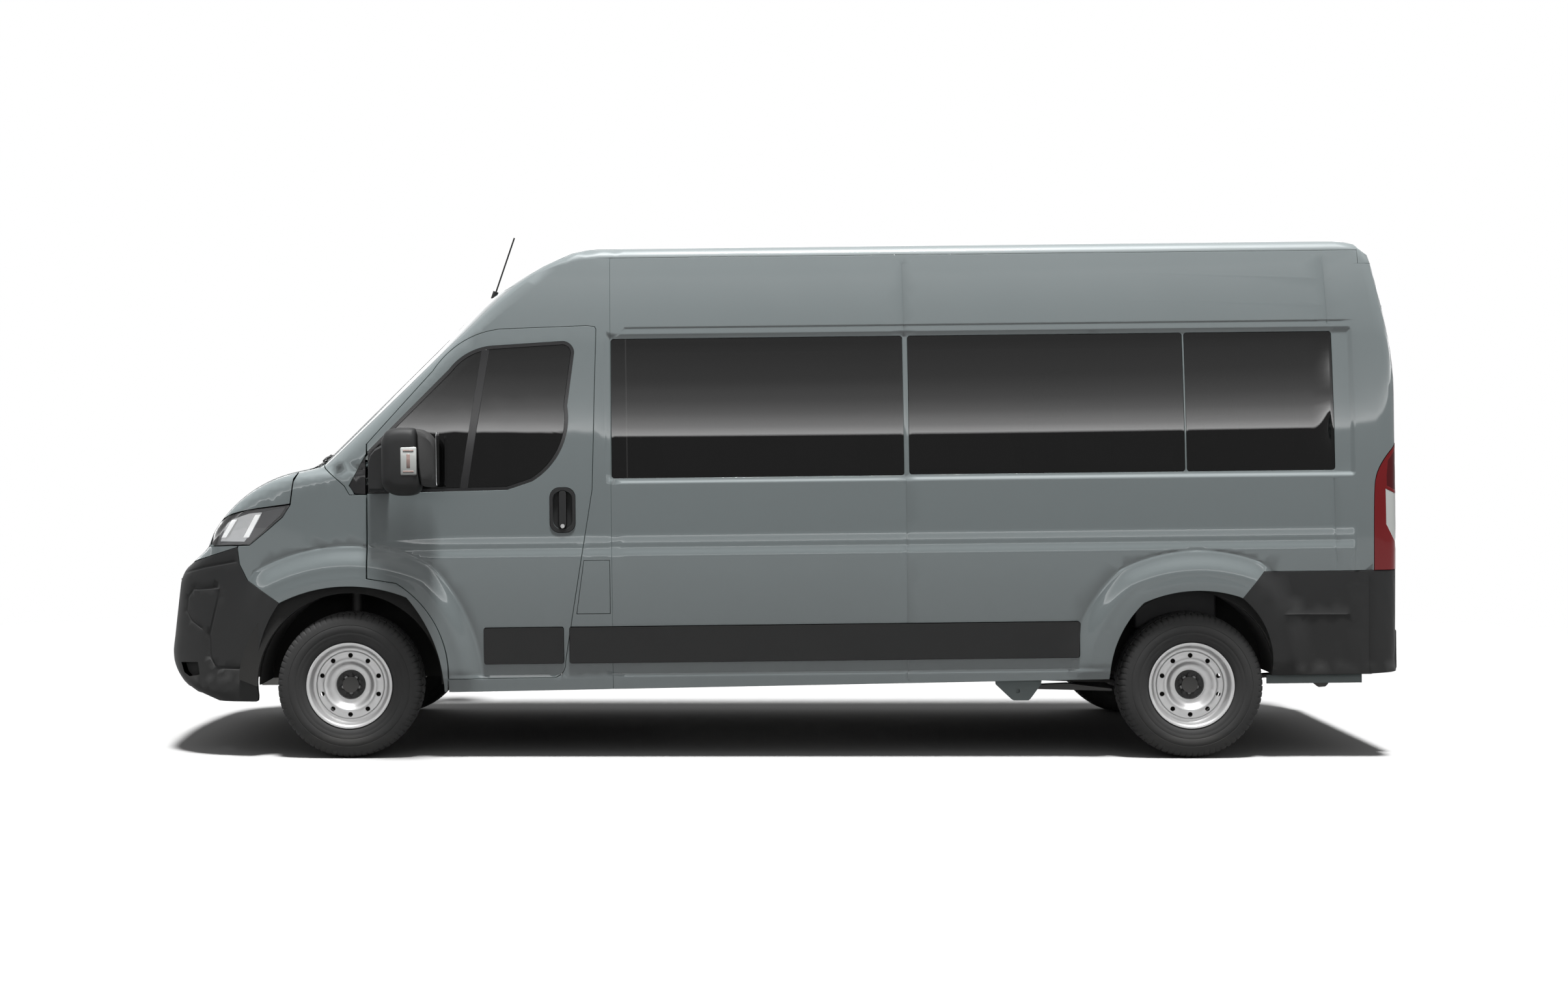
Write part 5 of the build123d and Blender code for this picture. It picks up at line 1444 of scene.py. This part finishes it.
tyre_half = [               # (radius, outboard) from the middle of the tread to the bead
    (348, 0), (348, 13), (339, 15), (339, 21), (348, 23), (347.6, 44), (346.8, 56), (338, 58), (338, 64),
    (346, 66), (343.5, 80), (339, 91), (331, 99.5), (326, 102), (322, 104.5), (318, 106), (306, 109.4),
    (292, 111.4), (290, 110.2), (287, 112), (272, 112.3), (258, 111.2), (255, 109.6), (252, 110.2),
    (240, 108), (236, 106), (232, 106.2), (222, 103), (214, 99), (209, 94.5), (207.6, 88), (207.2, 80)]
TYRE_STEPS = 432                                    # one step is the width of a cut in the tread
SIPE_R, BLOCK_OUT, RIB_OUT, DEEP_R, DEEP_CUT, SHALLOW_CUT = 320, 57, 22, 341, 7.0, 4.0
tyre_profile = [(r, -y) for r, y in tyre_half[:0:-1]] + tyre_half
tyre_verts, tyre_faces, tyre_tags, _ = turned(tyre_profile, TYRE_STEPS)
tyre_rows = len(tyre_profile)
tyre_faces = [f for i, f in enumerate(tyre_faces) if i % tyre_rows != tyre_rows - 1]
step_at = np.repeat(np.arange(TYRE_STEPS), tyre_rows)
out_at = -tyre_verts[:, 1]
radius_at = np.hypot(tyre_verts[:, 0], tyre_verts[:, 2])
shift = np.where(out_at > 0, 0, 3)
cut_row = (radius_at > SIPE_R) & (np.abs(out_at) > BLOCK_OUT) & ((step_at + shift) % 6 == 0)
cut_row |= (np.abs(out_at) < BLOCK_OUT) & (np.abs(out_at) > RIB_OUT) & ((step_at + shift) % 8 == 0)
depth = np.where(cut_row & (radius_at > DEEP_R), DEEP_CUT, np.where(cut_row, SHALLOW_CUT, 0.0))
tyre_verts[:, 0] *= (radius_at - depth) / radius_at
tyre_verts[:, 2] *= (radius_at - depth) / radius_at
CAP_STEPS, CAP_ROWS, CAP_EDGE_R = 120, 16, 69
cap_angle = np.arange(CAP_STEPS) * 2 * np.pi / CAP_STEPS
cap_radius = np.linspace(0, CAP_EDGE_R, CAP_ROWS)
cap_reach = 27 + 30 * (0.5 + 0.5 * np.cos(BOLTS * (cap_angle - math.radians(126)))) ** 2.2
cap_rise = 11 * np.clip((cap_reach[:, None] + 5 - cap_radius[None, :]) / 9, 0, 1)
cap_rise = cap_rise * (1 - (cap_radius[None, :] / 95) ** 2)
cap_verts = np.stack([cap_radius[None, :] * np.cos(cap_angle)[:, None], -(33 + cap_rise),
                      cap_radius[None, :] * np.sin(cap_angle)[:, None]], 2).reshape(-1, 3)
cap_faces, cap_tags = [], []
for i in range(CAP_STEPS):
    for j in range(CAP_ROWS - 1):
        a, b = i * CAP_ROWS + j, (i + 1) % CAP_STEPS * CAP_ROWS + j
        cap_faces.append((a, a + 1, b + 1, b) if j else (a, a + 1, b + 1))
        cap_tags.append(0 if cap_rise[i, j + 1] > 6 and cap_radius[j] < BOLT_PITCH_R else 1)
bolts = []
for i in range(BOLTS):
    turn = math.radians(90 + 360 // BOLTS * i)
    for radius, y0, y1, count in ((13.5, -36, -33, 24), (10.5, -47, -35, 6), (5.5, -51, -46, 12)):
        bolts.append(rod_y(BOLT_PITCH_R * math.cos(turn), BOLT_PITCH_R * math.sin(turn), radius,
                           y0, y1, count))
valve = [(np.array(v) @ np.array(Matrix.Rotation(math.radians(-14), 3, "X")).T + (0, 6, 0), f, t, n)
         for v, f, t, n in (rod_y(0, 176, 4.2, -84, -50, 12), rod_y(0, 176, 5.6, -62, -50, 12))]
rubber_tread = finish("tyre_rubber", (0.012, 0.012, 0.012), 0.72, alt=(0.018, 0.0175, 0.017), grain=0.3,
                      grain_size=420.0, dust=0.12, dust_top=0.12, size=6.0)
wheel_silver = finish("wheel_silver", (0.52, 0.52, 0.52), 0.30, metallic=0.75, coat=0.3,
                      alt=(0.47, 0.47, 0.47), grain=0.08, grain_size=1500.0, dust=0.06, dust_top=0.2)
hub_black = finish("hub_black", (0.012, 0.012, 0.012), 0.55, grain=0.2, dust=0.05)
cap_grey = finish("cap_grey", (0.33, 0.33, 0.33), 0.4, metallic=0.2, grain=0.15, dust=0.05)
for end, x in (("front", 0), ("rear", WHEELBASE)):
    for side, turn in (("left", -1), ("right", 1)):
        seat_at = UPRIGHT @ Matrix.Translation((x, turn * WHEEL_Y, TYRE_R))
        body = "wheel_" + end + "_" + side
        tag = end + "_" + side
        right = turn > 0
        make("tyre_" + tag, [(tyre_verts, tyre_faces, tyre_tags, None)], [rubber_tread], body,
             "tyre_" + tag, place=seat_at, mirror=right)
        make("rim_" + tag, [rim_part], [wheel_silver], body, "rim_" + tag, place=seat_at,
             mirror=right)
        make("hub_" + tag, [(cap_verts, cap_faces, cap_tags, None)], [cap_grey, hub_black], body,
             place=seat_at, mirror=right)
        make("bolts_" + tag, [*bolts, *valve], [hub_black], body, place=seat_at,
             mirror=right)

# ---------------------------------------------------------------- Door mirrors
# Large two-part mirror heads in moulded plastic on short arms from the door, with a clear side
# lamp in the shell and glass facing back.
def swollen(points, steps):
    """A moulded shell: one side outline repeated at each (share, y) and closed at both ends."""
    points = np.array(points, float)
    middle = points.mean(0)
    return bar_of(*(np.insert((points - middle) * share + middle, 1, y, axis=1) for share, y in steps))


mirror_front = eased([
    (197, 1512), (196, 1400), (196, 1319), (212, 1287), (255, 1262), (305, 1259), (349, 1261), (372, 1276),
    (381, 1300), (377, 1340), (369, 1370), (368, 1458), (368, 1531), (358, 1572), (335, 1580), (265, 1580),
    (222, 1568), (204, 1540),
    (197, 1512)], 2)[:-1]
mirror_rear = eased([(362, 1574), (393, 1567), (428, 1545), (446, 1515), (453, 1480), (454, 1420),
                     (455, 1369), (455, 1310),
                     (448, 1299), (387, 1302), (380, 1325), (372, 1370), (366, 1458), (362, 1574)], 2)[:-1]
head_steps = [(0.60, -1250), (0.80, -1245), (0.91, -1236), (0.97, -1222), (1.0, -1204), (1.0, -1128),
              (0.97, -1106), (0.9, -1092), (0.7, -1085)]
rim_steps_in = [(0.78, -1240), (0.92, -1231), (0.98, -1218), (1.0, -1202), (1.0, -1128), (0.96, -1108),
                (0.85, -1096)]
mirror_glass_line = [(-1222, 1322), (-1225, 1540), (-1205, 1556), (-1122, 1556), (-1108, 1540), (-1108, 1322),
                     (-1122, 1308), (-1208, 1308)]


def facing_back(points, x, thick):
    """A rear-view outline given a thickness towards the back."""
    return bar_of(*([(x_at, y, z) for y, z in points] for x_at in (x, x + thick)))


arm = [(196, 1506), (188, 1503), (150, 1482), (128, 1455), (118, 1420), (116, 1300), (120, 1276), (195, 1276),
       (206, 1300), (206, 1480)]
arm_steps = [(0.86, -1120), (0.95, -1104), (1.0, -1086), (1.0, -1022), (1.0, -1000)]
sail = [(110, 1272), (352, 1274), (300, 1340), (222, 1420), (150, 1492), (112, 1462)]
side_lamp = block(291, 367, -1253, -1236, 1356, 1489, 7)
lamp_inset = [block(303, 355, -1254.5, -1250, z, z + 8, 2, 1) for z in (1468, 1370)]
lamp_inset.append(block(320, 338, -1254, -1249, 1390, 1456, 6, 2))
amber_lens = lens("amber_lens", (0.42, 0.30, 0.27), 0.04)
mirror_glass = finish("mirror_glass", (0.78, 0.79, 0.80), 0.03, metallic=1.0, dust=0.0, alt_share=0.05)
make_pair("mirror_*", [swollen(mirror_front, head_steps), swollen(arm, arm_steps),
                       swollen(sail, [(0.97, -1003), (1, -998), (1, -985)])],
          [black_plastic], "front_door_*", "mirror_*")
make_pair("mirror_rim_*", [swollen(mirror_rear, rim_steps_in)], [rubber], "front_door_*")
make_pair("mirror_lamp_*", [side_lamp], [clear_lens] * 3, "front_door_*")
make_pair("mirror_lamp_bars_*", lamp_inset, [amber_lens] * 3, "front_door_*")
make_pair("mirror_glass_*", [facing_back(mirror_glass_line, 455, 2)], [mirror_glass], "front_door_*")

# ---------------------------------------------------------------- Seats
# Cab seats and rows of three behind, each a foam cushion and back in woven cloth on a boxed steel
# base, with a pillow headrest on two posts.
SEAT_TILT = math.radians(-10)
UPRIGHT_PAD = SEAT_TILT + math.radians(-90)
BACK_BEHIND, BACK_ABOVE, HEAD_ABOVE = 584, 320, 760
PADS = {                    # (wide, deep, high) of each foam pad, and the channels sewn in it
    "cushion": ((470, 470, 120), [("x", -150), ("x", 150), ("y", 60)]),
    "back": ((462, 620, 100), [("x", -150), ("x", 150), ("y", -120), ("y", 120)]),
    "headrest": ((262, 176, 90), [("y", 0)]),
}
VOXEL, PRESSURE, SWELL_FRAMES, SWELL_MOST, SWELL_QUICK = 0.013, 4.0, 14, 16, 14
CHANNEL_DEPTH, CHANNEL_HALF, PIPING_SHARE, PIPING_HALF = 9, 9, 0.018, 7


def foam(name, wide, deep, high, grooves):
    """One foam pad in its cover: swollen by a short cloth simulation, then sewn along its channels."""
    work = bmesh.new()
    bmesh.ops.create_cube(work, size=1)
    for v in work.verts:
        v.co = (v.co.x * (deep - 24), v.co.y * (wide - 24), v.co.z * (high - 20))
    bmesh.ops.bevel(work, geom=work.edges[:], offset=0.3 * high, segments=5, profile=0.5, affect="EDGES")
    mesh = bpy.data.meshes.new(name)
    for v in work.verts:
        v.co /= 1000
    work.to_mesh(mesh)
    work.free()
    shape = bpy.data.objects.new(name, mesh)
    scene.collection.objects.link(shape)
    voxels = shape.modifiers.new("voxels", "REMESH")
    voxels.mode = "VOXEL"
    voxels.voxel_size = VOXEL
    even = bpy.data.meshes.new_from_object(shape.evaluated_get(bpy.context.evaluated_depsgraph_get()))
    shape.modifiers.clear()
    shape.data = even
    start = np.array([tuple(v.co) for v in even.vertices]) * 1000
    cover = shape.modifiers.new("cover", "CLOTH")
    cover.settings.quality = 4
    cover.settings.use_pressure = True
    cover.settings.uniform_pressure_force = PRESSURE
    cover.settings.effector_weights.gravity = 0.0
    cover.point_cache.frame_start = 1
    cover.point_cache.frame_end = SWELL_FRAMES
    for step in range(1, SWELL_FRAMES + 1):
        scene.frame_set(step)
    now = bpy.context.evaluated_depsgraph_get()
    settled_mesh = bpy.data.meshes.new_from_object(shape.evaluated_get(now))
    end = np.array([tuple(v.co) for v in settled_mesh.vertices]) * 1000
    shape.modifiers.clear()
    scene.frame_set(1)
    moved = end - start
    length = np.linalg.norm(moved, axis=1)
    moved *= (np.minimum(length, SWELL_MOST) / np.maximum(length, 1e-6))[:, None]
    moved *= np.clip((start[:, 2] + high / 2) / 24, 0, 1)[:, None]
    verts = start + moved
    for along, place in grooves:
        away = np.abs(verts[:, 0 if along == "y" else 1] - place)
        verts[:, 2] -= np.where(verts[:, 2] > 0, CHANNEL_DEPTH * np.exp(-(away / CHANNEL_HALF) ** 2), 0)
    around = np.abs(verts[:, 2] - high * 0.22)
    edge = 1 - PIPING_SHARE * np.exp(-(around / PIPING_HALF) ** 2)
    verts[:, 0] *= edge
    verts[:, 1] *= edge
    faces = [tuple(p.vertices) for p in even.polygons]
    bpy.data.objects.remove(shape)
    return verts, faces, [0] * len(faces), None


def placed(part, move, turn=0.0):
    """A part turned about the crosswise axis and then moved."""
    spin = np.array(Matrix.Rotation(turn, 3, "Y"))
    verts, faces, tags, shades = part
    return np.array(verts) @ spin.T + move, faces, tags, None if shades is None else np.array(shades) @ spin.T


seat_cloth = finish("seat_cloth", (0.055, 0.058, 0.064), 0.92, alt=(0.075, 0.078, 0.084), dust=0.0,
                    specular=0.25)
cloth_tree = seat_cloth.node_tree
weave_at = cloth_tree.nodes.new("ShaderNodeTexCoord")
weave = cloth_tree.nodes.new("ShaderNodeTexVoronoi")
weave.inputs["Scale"].default_value = 420.0
weave_relief = cloth_tree.nodes.new("ShaderNodeBump")
weave_relief.inputs["Strength"].default_value = 0.5
weave_relief.inputs["Distance"].default_value = 0.0008
cloth_shader = cloth_tree.nodes["Principled BSDF"]
cloth_tree.links.new(weave_at.outputs["Object"], weave.inputs["Vector"])
cloth_tree.links.new(weave.outputs["Distance"], weave_relief.inputs["Height"])
cloth_tree.links.new(weave_relief.outputs["Normal"], cloth_shader.inputs["Normal"])
cloth_shader.inputs["Sheen Weight"].default_value = 0.25
seat_shell = finish("seat_shell", (0.03, 0.03, 0.032), 0.6, grain=0.3, dust=0.0)
pads = {kind: foam(kind, *size, channels) for kind, (size, channels) in PADS.items()}
SEATS = {
    "cab": (1010, [(900, -480, 500), (900, 160, 450), (900, 611, 450)]),
    "bench": (1000, [(x, y, 440) for x in (2060, 2910, 3760) for y in (-640, -199, 242)]),
}
for group, (top_z, places) in SEATS.items():
    frames = []
    for number, (x, y, wide) in enumerate(places, 1):
        fit = (1, (wide - 8) / PADS["cushion"][0][0], 1)
        back_at = (x + BACK_BEHIND, y, top_z + BACK_ABOVE)
        parts = {
            "cushion": placed(pads["cushion"], (x + 235, y / fit[1], top_z - 66)),
            "back": placed(pads["back"], (back_at[0] - 40, y / fit[1], back_at[2]), UPRIGHT_PAD),
            "headrest": placed(pads["headrest"], (back_at[0] + 12, y, top_z + HEAD_ABOVE), UPRIGHT_PAD),
        }
        for kind, part in parts.items():
            if kind != "headrest":
                part = (np.array(part[0]) * fit, *part[1:])
            pad = make(f"{group}_{kind}_{number}", [part], [seat_cloth], "body", group + "_seats")
        frames.append(block(x + 40, x + 440, y - wide * 0.36, y + wide * 0.36, 562, top_z - 124, 14))
        frames.append(block(x + 4, x + 466, y - wide * 0.47, y + wide * 0.47, top_z - 142, top_z - 122, 8))
        for shift in (-62, 62):
            post = block(-6, 6, y + shift - 6, y + shift + 6, -60, 60, 3)
            frames.append(placed(post, (back_at[0] - 2, 0, top_z + 650), -SEAT_TILT))
    make(group + "_seat_bases", frames, [seat_shell] * 3, "body")

# ---------------------------------------------------------------- Underbody and cabin
# The chassis rails, axles and engine are painted or bare steel, and the cabin mouldings are grained
# plastic over a ribbed rubber floor.
chassis_paint = finish("chassis_paint", (0.03, 0.03, 0.03), 0.55, alt=(0.05, 0.045, 0.04), grain=0.3,
                       dust=0.4, dust_top=0.5)
cast_metal = finish("cast_metal", (0.30, 0.30, 0.29), 0.5, metallic=0.8, alt=(0.2, 0.19, 0.18), grain=0.5,
                    grain_size=300.0, dust=0.3, dust_top=0.6)
dash_plastic = finish("dashboard_plastic", (0.045, 0.046, 0.05), 0.65, alt=(0.055, 0.056, 0.06), grain=0.5,
                      grain_size=520.0, dust=0.0, specular=0.35)
matting = finish("rubber_floor", (0.05, 0.05, 0.05), 0.85, alt=(0.07, 0.07, 0.068), grain=0.6,
                 grain_size=220.0, dust=0.0)
liner_felt = finish("wheel_arch_liner", (0.012, 0.012, 0.012), 0.95, grain=0.6, grain_size=200.0, dust=0.2)
CARRIED = {
    "aerial": black_plastic, "arch_liners": liner_felt, "chassis_frame": chassis_paint,
    "dashboard": dash_plastic, "engine_block": cast_metal, "floor_pan": matting,
    "front_suspension": chassis_paint,
    "grille": black_plastic, "knuckle_left": chassis_paint, "knuckle_right": chassis_paint,
    "rear_axle": chassis_paint,
    "rear_springs": chassis_paint, "steering_wheel": dash_plastic, "tank_and_exhaust": cast_metal,
    "firewall": lining,
}
for name, node in frame["nodes"].items():
    if not node.hide_render and name in CARRIED:
        node.data.materials.clear()
        node.data.materials.append(CARRIED[name])

# ---------------------------------------------------------------- Wipers
# Two pressed steel arms painted black, each with a rubber blade clipped on, parked along the foot of
# the screen and bolted to spindles below the bonnet's rear edge.
wiper_parts = []
for y0, y1 in ((-700, -60), (20, 620)):
    blade = [(y0, 1412), (y1, 1430), (y1, 1441), (y0, 1423)]
    pivot = [(y1 - 40, 1402), (y1, 1402), (y1 - 150, 1436), (y1 - 168, 1430)]
    wiper_parts.append(panel([on_front([*blade, blade[0]], 40)[:-1]], SCREEN_WAY, spacing=60, thick=8,
                             lift=16, inner=False))
    wiper_parts.append(panel([on_front([*pivot, pivot[0]], 40)[:-1]], SCREEN_WAY, spacing=60, thick=10,
                             lift=22, inner=False))
make("wipers", wiper_parts, MOULDED, "body")

# ---------------------------------------------------------------- Brakes, hangers and rear cross bar
# Cast brake discs and drums inside the wheels, the folded hangers that carry the leaf springs, and a
# painted cross bar with its towing lug under the tail.
brake_profile = [(40, 14), (62, 16), (66, 22), (148, 22), (152, 18), (152, -46), (148, -50), (40, -50)]
brake_part = turned(brake_profile, 72)
brake_iron = finish("brake_iron", (0.035, 0.032, 0.03), 0.6, metallic=0.6, alt=(0.05, 0.035, 0.028),
                    grain=0.4, dust=0.1)
for end, x in (("front", 0), ("rear", WHEELBASE)):
    for side, turn in (("left", -1), ("right", 1)):
        make("brake_" + end + "_" + side, [brake_part], [brake_iron], "wheel_" + end + "_" + side,
             place=UPRIGHT @ Matrix.Translation((x, turn * WHEEL_Y, TYRE_R)), mirror=turn > 0)


def plate_y(points, y0, y1):
    """A side-view outline given a thickness across the van."""
    return bar_of(*([(x, y, z) for x, z in points] for y in (y0, y1)))


HANGER = [(3100, 330), (3102, 314), (3176, 243), (3188, 236), (3258, 236), (3268, 243), (3320, 312),
          (3322, 330)]
hanger = carve(plate_y(HANGER, -946, -936), [rod_y(3207, 282, 11, -960, -920)])
hanger_web = plate_y([(3120, 330), (3190, 250), (3256, 250), (3306, 330)], -936, -880)
spring_leaf = plate_y([(3262, 306), (3456, 312), (3664, 285), (3664, 275), (3277, 288),
                       (3262, 294)], -925, -865)
cross_bar = block(4420, 4868, -925, -880, 312, 342, 6)
cross_lip = block(4408, 4868, -930, -925, 302, 344, 2)
towing_lug = plate_y([(4636, 316), (4712, 318), (4706, 296), (4692, 284), (4662, 282),
                      (4644, 296)], -924, -890)
# The hangers and cross bar take the darker copy of the body paint: painted shade under the van.
make_pair("spring_hanger_*", [hanger, hanger_web], [body_paint_painted_shade], "body")
make_pair("spring_leaf_*", [spring_leaf, towing_lug], [chassis_paint], "body")
make_pair("cross_bar_*", [cross_bar, cross_lip], [body_paint_painted_shade], "body")

# ---------------------------------------------------------------- Wheelhouse rings
# Black sheet steel rings, welded inside each flare, that close the arch between its hooped liner and
# the body side. They cover the upper half of the arch alone.
RING_STEPS, RING_DEPTH = 48, 30
for end, x, hoop, reach, y in (("front", 0, 443, 532, -984), ("rear", WHEELBASE, 407, 505, -990)):
    ring = [(x + r * math.cos(a), TYRE_R + r * math.sin(a))
            for r, turns in ((hoop, range(0, RING_STEPS + 1)), (reach, range(RING_STEPS - 1, 0, -1)))
            for a in (math.pi * k / RING_STEPS for k in turns)]
    make_pair("wheelhouse_ring_" + end + "_*", [plate_y(ring, y, y + RING_DEPTH)], [liner_felt], "body")

# ---------------------------------------------------------------- Fuel filler
# A black moulded pocket clipped in behind the flap, with the moulded screw cap of the filler neck
# and its grip across the middle.
POCKET_DEPTH, CAP_R = 44, 42
CAP_X, CAP_Z, CAP_Y = 1186, 806, -984
pocket_loops = [on_side(grown(FLAP, edge), 20)[:-1] for edge in (2, -5)]
pocket_walls = panel(pocket_loops, SIDE_FACING, spacing=40, thick=POCKET_DEPTH, lift=-12, inner=False)
pocket_back = panel([pocket_loops[0]], SIDE_FACING, spacing=40, thick=3, lift=-POCKET_DEPTH - 8, inner=False)
make("filler_pocket", [pocket_walls, pocket_back], MOULDED, "body")
cap_parts = [turned([(0.5, 16), (CAP_R - 5, 16), (CAP_R, 11), (CAP_R + 2, -24), (0.5, -24)], 72),
             block(-CAP_R + 6, CAP_R - 6, -30, -14, -7, 7, 5)]
make("filler_cap", cap_parts, MOULDED, "body",
     place=LEANING @ Matrix.Translation((CAP_X, CAP_Y, CAP_Z)))

# ---------------------------------------------------------------- Radiator
# An aluminium core of folded fins between two moulded side tanks, held upright in moulded rails
# behind the grille.
CORE_X, CORE_Y, CORE_Z, FIN_PITCH, FIN_DEPTH = (-852, -806), 470, (404, 848), 12, 5
fins = [(CORE_X[0] + FIN_DEPTH * (k % 2), CORE_Z[0] + k * FIN_PITCH / 2)
        for k in range(2 * (CORE_Z[1] - CORE_Z[0]) // FIN_PITCH + 1)]
core = plate_y([(CORE_X[1], CORE_Z[0]), *fins, (CORE_X[1], CORE_Z[1])], -CORE_Y, CORE_Y)
core_metal = finish("radiator_fins", (0.03, 0.03, 0.031), 0.6, metallic=0.5,
                    alt=(0.045, 0.044, 0.042), grain=0.4, grain_size=300.0, dust=0.3)
side_tanks = [block(CORE_X[0] - 8, CORE_X[1] + 8, *sorted((turn * CORE_Y, turn * (CORE_Y + 36))),
                    CORE_Z[0] - 4, CORE_Z[1] + 4, 10)
              for turn in (-1, 1)]
rails = [block(CORE_X[0] - 4, CORE_X[1] + 4, -CORE_Y, CORE_Y, z - 8, z + 8, 3) for z in CORE_Z]
make("radiator_core", [core], [core_metal], "body")
make("radiator_tanks", side_tanks + rails, MOULDED, "body")
